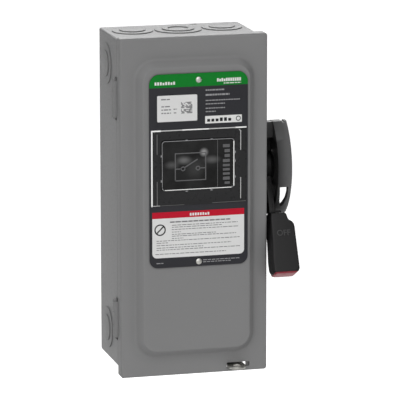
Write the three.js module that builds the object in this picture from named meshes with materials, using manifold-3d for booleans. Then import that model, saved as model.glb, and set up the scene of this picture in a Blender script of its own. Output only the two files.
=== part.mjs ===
// A 30 A three-pole fusible safety switch (AC disconnect) in a sheet-steel wall box.
// Units are millimetres. +X is to the right seen from the front, +Y runs into the wall,
// +Z is up. The origin lies on the box's flat back face, which goes against the wall, midway
// between its top and bottom walls and in line with the middle knockouts.

import * as THREE from 'three';
import { mergeVertices } from 'three/addons/utils/BufferGeometryUtils.js';
import Module from 'manifold-3d';

const wasm = await Module();
wasm.setup();

// ---------------------------------------------------------------- driving dimensions

const SHEET = 1.5;               // steel sheet thickness
const GAP = 0.3;                 // gap between pieces that touch

const BOX = { left: -78.3, right: 82, bottom: -179.5, top: 179.5, front: -93.5 };
const BOX_LEFT_RADIUS = 2;       // bend radius at the two left-hand corners
const BOX_RIGHT_RADIUS = 8;      // bend radius at the two right-hand corners
const BOX_LEFT_SHOULDER = -81;   // the left wall steps in here, behind the door's flange
const BOX_LEFT_STEP = { outer: -76.6, back: -70 };
const BOX_LIP = 5.8;             // outward lip at the bottom of the front rim

const DOOR = { left: -78.5, right: 84.5, bottom: -189.5, top: 181.5, front: -96, back: -81.5 };
const PANEL = { left: -55.3, right: 62.5, bottom: -161.3, top: 150.4 };  // raised flat
const PANEL_SLOPE = 7;           // width of the pressed slope round the raised flat
const PANEL_RISE = 9;            // how far the raised flat stands proud of the door
const PANEL_RADIUS = 15;
const PANEL_FACE = DOOR.front - PANEL_RISE;

const WINDOW = { left: -36.2, right: 45.3, bottom: 16.5, top: 72 };
const WINDOW_RADIUS = 4;
const LABEL = { left: -48.9, right: 59.8, bottom: -67.2, top: 142.3 };
const LABEL_THICKNESS = 0.8;
const RIVET_X = 5.5;
const RIVET_HEIGHTS = { top: 135.2, bottom: -62.1 };

const HINGE_AXIS = { x: -80, y: -77.5 };
const HINGE_LENGTH = 40;
const HINGE_CENTRES = { upper: 114.5, lower: -127 };
const KNUCKLE_RADIUS = 3;
const KNUCKLE_BORE = 1.65;
const HINGE_PIN_RADIUS = 1.4;

const KNOCKOUT_STEP = 0.7;       // each knockout disc stands this far above the one outside it
const KNOCKOUT_BACK = -13.5;     // the discs touch one another at this depth
const SIDE_KNOCKOUT_HEIGHT = 146;
const END_KNOCKOUT_SPACING = 49.7;

const HASP = { left: 39.7, right: 59.3, bottom: -184.1, top: -181.6, back: -60, front: -110.8 };
const HASP_HOLE_RADIUS = 4.6;
const SLOT = { left: 39.3, right: 64.8, bottom: -184.5, top: -179.2 };

const PIVOT = { y: -60, z: 30 }; // handle shaft
const HANDLE_REST = 26.5;        // degrees that the handle leans forward of straight down
const SHAFT_RADIUS = 5;
const HUB_RADIUS = 15;
const HANDLE_LENGTH = 122.7;     // pivot to the end of the grip
const GRIP = { left: 85.2, right: 113.3, neckRight: 105, neck: 56, halfDepth: 10.2 };
const GRIP_BACK = { depth: 5.5, end: 1.6 };  // where the red back shell starts, behind and below
const ARM = { left: 89, right: 96, halfDepth: 5.5 };
const TONGUE = { left: 92.5, right: 103, halfDepth: 2, end: 98 };

const GUARD = {
  wall: 82.3, inner: 97.6, outer: 114, back: -60, bottom: -22, top: 79.9, hubRadius: 20,
};
const GUARD_ARC = { y: -27, z: 29.5, radius: 67, edge: 5, wall: 2.5, rim: 8 };
const GUARD_BLOCK_FRONT = -70;
const GUARD_WINDOW_TOP = 11;
const GUARD_WINDOW_SCREEN = 107.5; // the back wall reaches this far behind the padlock window

const POLES = [-40, -5, 30];     // centres of the three poles
const BASE = { left: -58, right: 48, back: -5, front: -16 };
const STRAP = { back: -16.3, front: -19, halfWidth: 8 };
const BLADE = { pivotY: -42, pivotZ: 16, length: 52, halfThickness: 1.2, halfWidth: 6, rest: 50 };
const JAW_LEAF = { inner: 1.6, outer: 3.2 };
const FUSE = { radius: 10.3, top: -13, bottom: -140, y: -36, ferrule: 16 };
const LUG = { halfWidth: 9, front: -41, wireRadius: 5.5, wireY: -31 };
const LATCH = { y: -60, z: 108, rest: 25, left: 63, right: 69 };

// ---------------------------------------------------------------- solids and shapes

/** Turns a closed three.js geometry into a solid that can be joined and cut. */
function solid(geometry) {
  const bare = geometry.clone();
  bare.deleteAttribute('normal');
  bare.deleteAttribute('uv');
  const merged = mergeVertices(bare, 1e-4);
  const mesh = new wasm.Mesh({
    numProp: 3,
    vertProperties: Float32Array.from(merged.attributes.position.array),
    triVerts: Uint32Array.from(merged.index.array),
  });
  return new wasm.Manifold(mesh);
}

/** Turns a solid back into a three.js geometry with flat faces. */
function geometryOf(body) {
  const mesh = body.getMesh();
  const geometry = new THREE.BufferGeometry();
  geometry.setAttribute('position', new THREE.BufferAttribute(mesh.vertProperties, 3));
  geometry.setIndex(new THREE.BufferAttribute(mesh.triVerts, 1));
  const flat = geometry.toNonIndexed();
  flat.computeVertexNormals();
  return flat;
}

/** Joins any number of solids. */
function join(first, ...others) {
  return others.reduce((sum, other) => sum.add(other), first);
}

/** Cuts any number of solids out of the first. */
function cut(first, ...others) {
  return others.reduce((rest, other) => rest.subtract(other), first);
}

/** A box given by its extent along each axis. */
function block(x0, x1, y0, y1, z0, z1) {
  const geometry = new THREE.BoxGeometry(x1 - x0, y1 - y0, z1 - z0);
  geometry.translate((x0 + x1) / 2, (y0 + y1) / 2, (z0 + z1) / 2);
  return solid(geometry);
}

/** A cylinder along X, centred on (y, z). */
function rodX(x0, x1, y, z, radius, sides = 32) {
  const geometry = new THREE.CylinderGeometry(radius, radius, x1 - x0, sides);
  geometry.rotateZ(Math.PI / 2);
  geometry.translate((x0 + x1) / 2, y, z);
  return solid(geometry);
}

/** A cylinder along Y, centred on (x, z). */
function rodY(y0, y1, x, z, radius, sides = 24) {
  const geometry = new THREE.CylinderGeometry(radius, radius, y1 - y0, sides);
  geometry.translate(x, (y0 + y1) / 2, z);
  return solid(geometry);
}

/** A cylinder along Z, centred on (x, y). */
function rodZ(z0, z1, x, y, radius, sides = 24) {
  const geometry = new THREE.CylinderGeometry(radius, radius, z1 - z0, sides);
  geometry.rotateX(Math.PI / 2);
  geometry.translate(x, y, (z0 + z1) / 2);
  return solid(geometry);
}

/** A rectangle whose corners are rounded, starting bottom left and going anticlockwise. */
function roundedRectangle(x0, x1, y0, y1, radii) {
  const [bottomLeft, bottomRight, topRight, topLeft] = Array.isArray(radii)
    ? radii : [radii, radii, radii, radii];
  const shape = new THREE.Shape();
  shape.moveTo(x0 + bottomLeft, y0);
  shape.lineTo(x1 - bottomRight, y0);
  shape.absarc(x1 - bottomRight, y0 + bottomRight, bottomRight, -Math.PI / 2, 0);
  shape.lineTo(x1, y1 - topRight);
  shape.absarc(x1 - topRight, y1 - topRight, topRight, 0, Math.PI / 2);
  shape.lineTo(x0 + topLeft, y1);
  shape.absarc(x0 + topLeft, y1 - topLeft, topLeft, Math.PI / 2, Math.PI);
  shape.lineTo(x0, y0 + bottomLeft);
  shape.absarc(x0 + bottomLeft, y0 + bottomLeft, bottomLeft, Math.PI, 1.5 * Math.PI);
  return shape;
}

/** A closed outline through the given corners. */
function polygon(points) {
  return new THREE.Shape(points.map(([x, y]) => new THREE.Vector2(x, y)));
}

/** Extrudes a shape drawn in X and Z along Y, from the deeper y1 forward to y0. */
function extrudeAlongY(shape, y0, y1, options = {}) {
  const depth = y1 - y0;
  const settings = { depth, bevelEnabled: false, curveSegments: 5, ...options };
  const geometry = new THREE.ExtrudeGeometry(shape, settings);
  geometry.rotateX(Math.PI / 2);
  geometry.translate(0, y1, 0);
  return solid(geometry);
}

/** Extrudes a shape drawn in Y and Z along X. */
function extrudeAlongX(shape, x0, x1, options = {}) {
  const settings = { depth: x1 - x0, bevelEnabled: false, curveSegments: 4, ...options };
  const geometry = new THREE.ExtrudeGeometry(shape, settings);
  const axes = new THREE.Matrix4().makeBasis(
    new THREE.Vector3(0, 1, 0),
    new THREE.Vector3(0, 0, 1),
    new THREE.Vector3(1, 0, 0),
  );
  geometry.applyMatrix4(axes);
  geometry.translate(x0, 0, 0);
  return solid(geometry);
}

/** Extrudes a shape drawn in X and Y along Z. */
function extrudeAlongZ(shape, z0, z1) {
  const settings = { depth: z1 - z0, bevelEnabled: false, curveSegments: 8 };
  const geometry = new THREE.ExtrudeGeometry(shape, settings);
  geometry.translate(0, 0, z0);
  return solid(geometry);
}

/** Turns a profile of [radius, x] points about an axis along X through (y, z). */
function turnAboutX(profile, y, z, sides) {
  const points = profile.map(([radius, x]) => new THREE.Vector2(radius, x));
  const geometry = new THREE.LatheGeometry(points, sides);
  geometry.rotateZ(-Math.PI / 2);
  geometry.translate(0, y, z);
  return solid(geometry);
}

// ---------------------------------------------------------------- materials

function material(color, roughness, metalness) {
  return new THREE.MeshStandardMaterial({ color, roughness, metalness });
}

const paint = material(0x7b7c7d, 0.45, 0.1);
const zinc = material(0xb9bcc0, 0.35, 0.9);
const copper = material(0xb87445, 0.35, 0.95);
const aluminium = material(0xb4b7ba, 0.4, 0.9);
const blackPlastic = material(0x2b2b2d, 0.5, 0);
const guardPlastic = material(0x3c3c3e, 0.5, 0);
const redPlastic = material(0xa31f28, 0.45, 0);
const insulator = material(0x6d2f22, 0.6, 0);
const labelFilm = material(0x36373a, 0.35, 0);
const fusePaper = material(0xe6dfc8, 0.7, 0);
const rubber = material(0x1c1c1c, 0.8, 0);
const clearPlastic = new THREE.MeshStandardMaterial({
  color: 0xc8d2d8, roughness: 0.08, metalness: 0, transparent: true, opacity: 0.35,
});

// ---------------------------------------------------------------- assembly helpers

const disconnect = new THREE.Group();
disconnect.name = 'ac_disconnect';

/** Adds one named piece to the assembly, or to a group inside it. */
function add(name, body, finish, parent = disconnect) {
  const geometry = body.isBufferGeometry ? body : geometryOf(body);
  const mesh = new THREE.Mesh(geometry, finish);
  mesh.name = name;
  parent.add(mesh);
  return mesh;
}

/** A group turned about X, at a pivot in the YZ plane. */
function turnedGroup(y, z, degrees) {
  const group = new THREE.Group();
  group.position.set(0, y, z);
  group.rotation.x = THREE.MathUtils.degToRad(degrees);
  disconnect.add(group);
  return group;
}

// ---------------------------------------------------------------- enclosure

/** Raised discs of one end knockout; sign is +1 on the top wall and -1 on the bottom. */
function endKnockout(sign, x, radii) {
  const surface = sign > 0 ? BOX.top : -BOX.bottom;
  const discs = radii.map((radius, index) => {
    const low = surface - SHEET / 2;
    const high = surface + (index + 1) * KNOCKOUT_STEP;
    const ends = sign > 0 ? [low, high] : [-high, -low];
    return rodZ(ends[0], ends[1], x, KNOCKOUT_BACK - radius, radius, 32 - 8 * index);
  });
  return join(...discs);
}

/** Raised discs of one side knockout; sign is +1 on the right wall and -1 on the left. */
function sideKnockout(sign, z) {
  const surface = sign > 0 ? BOX.right : -BOX.left;
  const discs = [22, 14].map((radius, index) => {
    const low = surface - SHEET / 2;
    const high = surface + (index + 1) * KNOCKOUT_STEP;
    const ends = sign > 0 ? [low, high] : [-high, -low];
    return rodX(ends[0], ends[1], KNOCKOUT_BACK - radius, z, radius, 32 - 8 * index);
  });
  return join(...discs);
}

function makeEnclosure() {
  const left = BOX_LEFT_RADIUS;
  const right = BOX_RIGHT_RADIUS;
  const outline = roundedRectangle(BOX.left, BOX.right, BOX.bottom, BOX.top,
    [left, right, right, left]);
  const hollow = roundedRectangle(BOX.left + SHEET, BOX.right - SHEET,
    BOX.bottom + SHEET, BOX.top - SHEET,
    [left - SHEET, right - SHEET, right - SHEET, left - SHEET]);
  let body = extrudeAlongY(outline, BOX.front, 0);
  body = cut(body, extrudeAlongY(hollow, BOX.front - 1, -SHEET));

  const shoulder = block(BOX.left - 1, BOX_LEFT_STEP.outer, BOX.front - 1, BOX_LEFT_SHOULDER,
    BOX.bottom - 1, BOX.top + 1);
  const step = block(BOX_LEFT_STEP.outer - 0.4, BOX_LEFT_STEP.outer + SHEET, BOX.front,
    BOX_LEFT_STEP.back, BOX.bottom + SHEET / 2, BOX.top - SHEET / 2);
  const lipBack = BOX.front + SHEET;
  const returnWidth = 8;
  const innerLeft = BOX_LEFT_STEP.outer + SHEET / 2;
  const bottomLip = block(BOX_LEFT_STEP.outer + returnWidth, BOX.right - right,
    BOX.front, lipBack, BOX.bottom - BOX_LIP, BOX.bottom + SHEET / 2);
  const leftReturn = block(innerLeft, BOX_LEFT_STEP.outer + returnWidth,
    BOX.front, lipBack, BOX.bottom + SHEET / 2, BOX.top - SHEET / 2);
  const topReturn = block(innerLeft, BOX.right - right,
    BOX.front, lipBack, BOX.top - returnWidth, BOX.top - SHEET / 2);
  body = join(body, step);
  body = cut(body, shoulder);
  body = join(body, bottomLip, leftReturn, topReturn);

  for (const sign of [1, -1]) {
    body = join(body,
      endKnockout(sign, -END_KNOCKOUT_SPACING, [22, 14]),
      endKnockout(sign, END_KNOCKOUT_SPACING, [22, 14]),
      endKnockout(sign, 0, [25.5, 17.5]),
      sideKnockout(sign, SIDE_KNOCKOUT_HEIGHT),
      sideKnockout(sign, -SIDE_KNOCKOUT_HEIGHT));
  }

  const centreY = KNOCKOUT_BACK - 11.5;
  const centreDents = [1, -1].map((sign) => {
    const top = BOX.top + 2 * KNOCKOUT_STEP;
    const ends = [top - 1.1, top + 1].map((z) => sign * z).sort((a, b) => a - b);
    return rodZ(ends[0], ends[1], 0, centreY, 11, 24);
  });
  const mountingHoles = [
    rodY(-SHEET - 1, 1, 0, 150, 3.6),
    rodY(-SHEET - 1, 1, -50, -150, 3.6),
    rodY(-SHEET - 1, 1, 50, -150, 3.6),
  ];
  const shaftHole = rodX(BOX.right - 3, BOX.right + 1, PIVOT.y, PIVOT.z, SHAFT_RADIUS + 1);
  const haspNotch = block(HASP.left - 2, HASP.right + 2,
    BOX.front - 1, lipBack + 1, BOX.bottom - 9, BOX.bottom - GAP);
  const hingeNotches = Object.values(HINGE_CENTRES).map((centre) => {
    const reach = HINGE_LENGTH / 2 + 3.3;
    return block(BOX.left - 1, BOX_LEFT_STEP.outer + SHEET + 0.2, BOX_LEFT_SHOULDER - 0.2,
      HINGE_AXIS.y + KNUCKLE_RADIUS + 0.4, centre - reach, centre + reach);
  });
  body = cut(body, ...centreDents, ...mountingHoles, ...hingeNotches, shaftHole, haspNotch);
  add('enclosure_box', body, paint);
}

function makeHasp() {
  const noseRadius = (HASP.right - HASP.left) / 2 - 0.05;
  const shape = roundedRectangle(HASP.left, HASP.right, HASP.front, HASP.back,
    [noseRadius, noseRadius, 1, 1]);
  const hole = new THREE.Path();
  const centreX = (HASP.left + HASP.right) / 2;
  hole.absarc(centreX, HASP.front + noseRadius, HASP_HOLE_RADIUS, 0, 2 * Math.PI, true);
  shape.holes.push(hole);
  add('padlock_hasp', extrudeAlongZ(shape, HASP.bottom, HASP.top), zinc);
}

// ---------------------------------------------------------------- door

/** The door's solid outline, shrunk inward by an offset for its hollow side. */
function doorForm(offset, back) {
  const flange = block(DOOR.left + offset, DOOR.right - offset, DOOR.front + offset, back,
    DOOR.bottom + offset, DOOR.top - offset);
  const flat = roundedRectangle(PANEL.left + offset / 2, PANEL.right - offset / 2,
    PANEL.bottom + offset / 2, PANEL.top - offset / 2, PANEL_RADIUS);
  const raised = extrudeAlongY(flat, DOOR.front + offset, DOOR.front + offset + 1, {
    bevelEnabled: true,
    bevelThickness: PANEL_RISE,
    bevelSize: PANEL_SLOPE,
    bevelSegments: 1,
    curveSegments: 5,
  });
  const front = block(DOOR.left - 1, DOOR.right + 1, DOOR.front - 20, DOOR.front + offset + 1,
    DOOR.bottom - 1, DOOR.top + 1);
  return join(flange, raised.intersect(front));
}

/** Height ranges of a hinge's three knuckles, from the bottom up. */
function knuckleRanges(centre) {
  const bottom = centre - HINGE_LENGTH / 2;
  const middle = [bottom + 14.5, bottom + 28.5];
  return {
    bottom: [bottom, middle[0] - GAP],
    middle,
    top: [middle[1] + GAP, bottom + HINGE_LENGTH],
  };
}

function knuckle(range) {
  return rodZ(range[0], range[1], HINGE_AXIS.x, HINGE_AXIS.y, KNUCKLE_RADIUS, 16);
}

function knuckleBore(centre) {
  const reach = HINGE_LENGTH;
  return rodZ(centre - reach, centre + reach, HINGE_AXIS.x, HINGE_AXIS.y, KNUCKLE_BORE, 12);
}

function makeDoor() {
  let body = cut(doorForm(0, DOOR.back), doorForm(SHEET, DOOR.back + 1));
  for (const centre of Object.values(HINGE_CENTRES)) {
    const range = knuckleRanges(centre).middle;
    const tab = block(DOOR.left, DOOR.left + SHEET, DOOR.back - 0.5, HINGE_AXIS.y,
      range[0], range[1]);
    body = cut(join(body, tab, knuckle(range)), knuckleBore(centre));
  }
  const window = roundedRectangle(WINDOW.left, WINDOW.right, WINDOW.bottom, WINDOW.top,
    WINDOW_RADIUS);
  const opening = extrudeAlongY(window, PANEL_FACE - 1, DOOR.front + 4);
  const slot = block(SLOT.left, SLOT.right, DOOR.front - 1, DOOR.front + SHEET + 1,
    SLOT.bottom, SLOT.top);
  const rivetHoles = Object.values(RIVET_HEIGHTS).map(
    (z) => rodY(PANEL_FACE - 1, PANEL_FACE + 4, RIVET_X, z, 1.8, 12),
  );
  body = cut(body, opening, slot, ...rivetHoles);
  add('door', body, paint);
}

function makeHinges() {
  const inside = BOX_LEFT_STEP.outer + SHEET + GAP;
  const web = { back: HINGE_AXIS.y + 0.7, front: HINGE_AXIS.y - 0.7 };
  for (const [name, centre] of Object.entries(HINGE_CENTRES)) {
    const ranges = knuckleRanges(centre);
    const low = ranges.bottom[0];
    const high = ranges.top[1];
    const plate = block(inside, inside + 1.4, web.front, HINGE_AXIS.y + 18, low, high);
    const clearance = block(HINGE_AXIS.x, inside - 0.1, web.front - 1, web.back + 1,
      ranges.middle[0] - GAP, ranges.middle[1] + GAP);
    const webs = block(HINGE_AXIS.x, inside + 0.7, web.front, web.back, low, high);
    let leaf = join(plate, cut(webs, clearance), knuckle(ranges.bottom), knuckle(ranges.top));
    leaf = cut(leaf, knuckleBore(centre));
    add(`hinge_leaf_${name}`, leaf, paint);

    const shank = rodZ(low - 1.5, high + 1, HINGE_AXIS.x, HINGE_AXIS.y, HINGE_PIN_RADIUS, 12);
    const head = rodZ(high + GAP, high + 2.8, HINGE_AXIS.x, HINGE_AXIS.y, 2.6, 12);
    add(`hinge_pin_${name}`, join(shank, head), paint);
  }
}

function makeLabel() {
  const back = PANEL_FACE - GAP;
  const outline = roundedRectangle(LABEL.left, LABEL.right, LABEL.bottom, LABEL.top, 10);
  const sheet = extrudeAlongY(outline, back - LABEL_THICKNESS, back);
  const margin = 0.2;
  const window = roundedRectangle(WINDOW.left - margin, WINDOW.right + margin,
    WINDOW.bottom - margin, WINDOW.top + margin, WINDOW_RADIUS);
  const opening = extrudeAlongY(window, back - 3, back + 3);
  const holes = Object.values(RIVET_HEIGHTS).map((z) => rodY(back - 3, back + 3, RIVET_X, z, 1.8, 12));
  add('label_plate', cut(sheet, opening, ...holes), labelFilm);

  const headBase = back - LABEL_THICKNESS - GAP;
  for (const [name, z] of Object.entries(RIVET_HEIGHTS)) {
    const profile = [[0, 4.5], [1.5, 4.5], [1.5, 0], [3.2, 0], [2.9, -0.7], [1.8, -1.2], [0, -1.4]];
    const points = profile.map(([radius, y]) => new THREE.Vector2(radius, y)).reverse();
    const geometry = new THREE.LatheGeometry(points, 16);
    geometry.translate(RIVET_X, headBase, z);
    add(`label_rivet_${name}`, solid(geometry), zinc);
  }
}

function makeWindow() {
  const clearance = 0.4;
  const border = 8;
  const seat = PANEL_FACE + SHEET + GAP;
  const gasketBack = seat + 1.2;
  const outer = roundedRectangle(WINDOW.left - border, WINDOW.right + border,
    WINDOW.bottom - border, WINDOW.top + border, WINDOW_RADIUS + 2);
  const opening = roundedRectangle(WINDOW.left, WINDOW.right, WINDOW.bottom, WINDOW.top,
    WINDOW_RADIUS);
  const gasket = cut(extrudeAlongY(outer, seat, gasketBack),
    extrudeAlongY(opening, seat - 1, gasketBack + 1));
  add('window_gasket', gasket, rubber);

  const raised = roundedRectangle(WINDOW.left + clearance, WINDOW.right - clearance,
    WINDOW.bottom + clearance, WINDOW.top - clearance, WINDOW_RADIUS - clearance);
  const face = PANEL_FACE - GAP - LABEL_THICKNESS - 0.7;
  const plate = extrudeAlongY(outer, gasketBack + GAP, gasketBack + GAP + 2);
  add('window_lens', join(plate, extrudeAlongY(raised, face, gasketBack + GAP + 1)), clearPlastic);
}

function makeInterlockHook() {
  const left = LATCH.left - 1;
  const right = LATCH.right + 1;
  const foot = DOOR.front + SHEET + GAP;
  const profile = polygon([
    [foot, 84], [foot + 1.6, 84], [foot + 1.6, 91], [-74, 91], [-74, 99],
    [-76, 99], [-76, 93], [foot + 1.6, 93], [foot + 1.6, 102], [foot, 102],
  ]);
  add('interlock_hook', extrudeAlongX(profile, left, right), zinc);
}

// ---------------------------------------------------------------- handle

/** The side guard: a cheek with a padlock window, held off the wall by two blocks. */
function makeGuard() {
  const arc = GUARD_ARC;
  const edgeSteps = 3;
  const rounded = [];
  for (let step = 0; step <= edgeSteps; step += 1) {
    const angle = (step / edgeSteps) * (Math.PI / 2);
    const radius = arc.radius - arc.edge + arc.edge * Math.cos(angle);
    rounded.push([radius, GUARD.outer - arc.edge + arc.edge * Math.sin(angle)]);
  }
  const profile = [[0, GUARD.inner], [arc.radius, GUARD.inner], ...rounded, [0, GUARD.outer]];
  const drum = turnAboutX(profile, arc.y, arc.z, 80);
  const slab = block(GUARD.inner - 1, GUARD.outer + 1, -100, GUARD.back, GUARD.bottom, GUARD.top);
  const hubCover = rodX(GUARD.inner - 1, GUARD.outer + 1, PIVOT.y, PIVOT.z, GUARD.hubRadius, 32);
  let cheek = drum.intersect(join(slab, hubCover));

  const inside = rodX(GUARD.inner + 2, GUARD.outer - arc.wall, arc.y, arc.z,
    arc.radius - arc.wall - 2, 64);
  const upperRoom = block(GUARD.inner, GUARD.outer, -100, GUARD.back + 1,
    GUARD_WINDOW_TOP + 3, GUARD.top - 3);
  const hubRoom = rodX(GUARD.inner - 1, GUARD.outer - arc.wall, PIVOT.y, PIVOT.z,
    GUARD.hubRadius - arc.wall, 32);
  cheek = cut(cheek, inside.intersect(upperRoom), hubRoom);

  const core = rodX(GUARD.inner - 1, GUARD.outer + 1, arc.y, arc.z, arc.radius - arc.rim, 64);
  const lowerRoom = block(GUARD.inner - 2, GUARD.outer + 2, -100, GUARD.back + 1,
    GUARD.bottom + 6, GUARD_WINDOW_TOP);
  const padlockWindow = polygon([
    [100.1, 11], [109.7, 11], [110.1, 4], [109.4, -3], [107.4, -9], [105, -12.8],
    [103.6, -12.4], [101.5, -5],
  ].reverse());
  cheek = cut(cheek, core.intersect(lowerRoom), extrudeAlongY(padlockWindow, -100, -40));

  const topBlock = block(GUARD.wall, GUARD.inner + 1, GUARD_BLOCK_FRONT, GUARD.back,
    63, GUARD.top);
  const bottomBlock = block(GUARD.wall, GUARD.inner + 1, GUARD_BLOCK_FRONT, GUARD.back,
    GUARD.bottom, -9);
  const wallClearance = HUB_RADIUS + 1.2;
  const backWall = cut(
    join(
      block(GUARD.wall + 1, GUARD.inner + 1, GUARD.back - 0.5, GUARD.back + 3,
        GUARD.bottom, GUARD.top),
      block(GUARD.inner, GUARD_WINDOW_SCREEN, GUARD.back - 0.5, GUARD.back + 3,
        GUARD.bottom, PIVOT.z - wallClearance),
    ),
    rodX(GUARD.wall, GUARD.inner + 2, PIVOT.y, PIVOT.z, wallClearance),
  );
  const plateOutline = roundedRectangle(-76, -36, GUARD.bottom - 2, GUARD.top + 1, 4);
  const plate = extrudeAlongX(plateOutline, GUARD.wall, GUARD.wall + 3.2);
  const shaftHole = rodX(GUARD.wall - 1, GUARD.wall + 5, PIVOT.y, PIVOT.z, SHAFT_RADIUS + 1);
  const screwHoles = [74, -15].map(
    (z) => rodX(GUARD.wall - 1, GUARD.wall + 5, -45, z, 2.4, 12),
  );
  const guard = join(plate, topBlock, bottomBlock, backWall, cheek);
  add('handle_guard', cut(guard, shaftHole, ...screwHoles), guardPlastic);

  for (const [name, z] of [['upper', 74], ['lower', -15]]) {
    const head = rodX(GUARD.wall + 3.2 + GAP, GUARD.wall + 6.2, -45, z, 4, 16);
    const shank = rodX(GUARD.wall, GUARD.wall + 5, -45, z, 2, 12);
    add(`guard_screw_${name}`, join(head, shank), zinc);
  }
}

/** The outline of the hand grip, drawn in X and Z about the pivot, pointing down. */
function gripOutline() {
  const shape = new THREE.Shape();
  const end = -HANDLE_LENGTH;
  const corner = 6;
  shape.moveTo(GRIP.left + 1, -GRIP.neck);
  shape.lineTo(GRIP.left, end + 3);
  shape.quadraticCurveTo(GRIP.left, end, GRIP.left + 3, end);
  shape.lineTo(GRIP.right - corner, end);
  shape.absarc(GRIP.right - corner, end + corner, corner, -Math.PI / 2, 0);
  shape.lineTo(GRIP.right, -GRIP.neck - 17);
  shape.quadraticCurveTo(GRIP.right - 0.5, -GRIP.neck - 11, GRIP.neckRight + 3, -GRIP.neck - 8);
  shape.lineTo(GRIP.neckRight + 1.6, -GRIP.neck - 2);
  shape.lineTo(GRIP.neckRight, -GRIP.neck);
  return shape;
}

function makeHandle() {
  const group = turnedGroup(PIVOT.y, PIVOT.z, -HANDLE_REST);
  const hub = rodX(86, ARM.right, 0, 0, HUB_RADIUS, 40);
  const arm = block(ARM.left, ARM.right, -ARM.halfDepth, ARM.halfDepth, -GRIP.neck + 0.6, 0);
  const tongue = block(TONGUE.left, TONGUE.right, -TONGUE.halfDepth, TONGUE.halfDepth,
    -TONGUE.end, -GRIP.neck + 4);
  const bore = rodX(85, ARM.right - 3, 0, 0, SHAFT_RADIUS + GAP, 24);
  add('handle_arm', cut(join(hub, arm, tongue), bore), blackPlastic, group);

  const bevel = 1.6;
  const grip = gripOutline();
  const pocket = block(TONGUE.left - GAP, TONGUE.right + GAP,
    -TONGUE.halfDepth - GAP, TONGUE.halfDepth + GAP, -TONGUE.end - GAP, -GRIP.neck + 4);
  const whole = extrudeAlongY(grip, -GRIP.halfDepth + bevel, GRIP.halfDepth - bevel, {
    bevelEnabled: true,
    bevelThickness: bevel,
    bevelSize: bevel,
    bevelOffset: -bevel,
    bevelSegments: 2,
    curveSegments: 5,
  });
  const split = GRIP_BACK.depth;
  const capTop = GRIP_BACK.end - HANDLE_LENGTH;
  const frontRoom = block(80, 120, -20, split, capTop, -50);
  const backRoom = join(
    block(80, 120, split + GAP, 20, -130, -50),
    block(80, 120, -20, 20, -130, capTop - GAP),
  );
  add('handle_front_shell', cut(whole.intersect(frontRoom), pocket), blackPlastic, group);
  add('handle_back_shell', whole.intersect(backRoom), redPlastic, group);

  add('handle_shaft', rodX(57, ARM.right - 3.5, 0, 0, SHAFT_RADIUS, 24), zinc, group);

  const crankHub = rodX(59, 65, 0, 0, 9.5, 28);
  const crankArm = extrudeAlongX(roundedRectangle(-5, 5, 0, 30, [0.5, 0.5, 4.9, 4.9]), 59, 63);
  const crankPin = rodX(52, 60, 0, 24.5, 2.5, 14);
  const crankBore = rodX(50, 70, 0, 0, SHAFT_RADIUS + GAP, 24);
  add('drive_crank', cut(join(crankHub, crankArm, crankPin), crankBore), zinc, group);
  add('drive_spring', springBody(), zinc, group);
}

/** A torsion spring wound round the handle shaft. */
class SpringCurve extends THREE.Curve {
  getPoint(t, target = new THREE.Vector3()) {
    const angle = t * 2 * Math.PI * 2;
    const radius = 8;
    return target.set(66.2 + t * 3.6, radius * Math.cos(angle), radius * Math.sin(angle));
  }
}

function springBody() {
  const wire = new THREE.Shape();
  wire.absarc(0, 0, 0.75, 0, 2 * Math.PI);
  const geometry = new THREE.ExtrudeGeometry(wire, {
    extrudePath: new SpringCurve(),
    steps: 32,
    bevelEnabled: false,
    curveSegments: 3,
  });
  return solid(geometry);
}

function makeMechanismBracket() {
  const outline = roundedRectangle(-84, -36, -6, 118, 4);
  const outside = BOX.right - SHEET - GAP;
  const inside = outside - 2.7;
  const plate = extrudeAlongX(outline, inside, outside);
  const foot = block(65, inside + 1, -38, -36, -6, 60);
  const stud = rodX(61, inside + 1, LATCH.y, LATCH.z, 2.5, 16);
  const shaftHole = rodX(inside - 1, outside + 1, PIVOT.y, PIVOT.z, SHAFT_RADIUS + 0.5, 28);
  add('mechanism_bracket', cut(join(plate, foot, stud), shaftHole), zinc);
}

function makeInterlockLatch() {
  const group = turnedGroup(LATCH.y, LATCH.z, -LATCH.rest);
  const hub = rodX(LATCH.left, LATCH.right, 0, 0, 6, 24);
  const profile = polygon([
    [0, 4], [-22, -3], [-22, -13], [-19, -13], [-19, -6.5], [0, -4],
  ]);
  const arm = extrudeAlongX(profile, LATCH.left, LATCH.right);
  const bore = rodX(LATCH.left - 1, LATCH.right + 1, 0, 0, 2.5 + GAP, 16);
  add('interlock_latch', cut(join(hub, arm), bore), zinc, group);
}

// ---------------------------------------------------------------- switch and fuses

function makeBases() {
  let line = block(BASE.left, BASE.right, BASE.front, BASE.back, -32, 148);
  for (const x of [-22.5, 12.5]) {
    line = join(line, block(x - 1.5, x + 1.5, -54, BASE.front + 1, 56, 145));
  }
  for (const [x0, x1] of [[-61.3, BASE.left + 0.1], [BASE.right - 0.1, 51.3]]) {
    const ear = block(x0, x1, -50, BASE.back, 4, 28);
    line = join(line, ear);
  }
  line = cut(line, rodX(-70, 60, BLADE.pivotY, BLADE.pivotZ, 3.3, 20));
  add('line_base', line, insulator);
  add('load_base', block(BASE.left, BASE.right, BASE.front, BASE.back, -158, -112), insulator);
}

/** Two spring leaves that grip a blade, standing forward of a strap. */
function bladeLeaves(x, front, z0, z1) {
  return [-1, 1].map((side) => {
    const ends = [side * JAW_LEAF.inner, side * JAW_LEAF.outer].sort((a, b) => a - b);
    return block(x + ends[0], x + ends[1], front, STRAP.back, z0, z1);
  });
}

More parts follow.
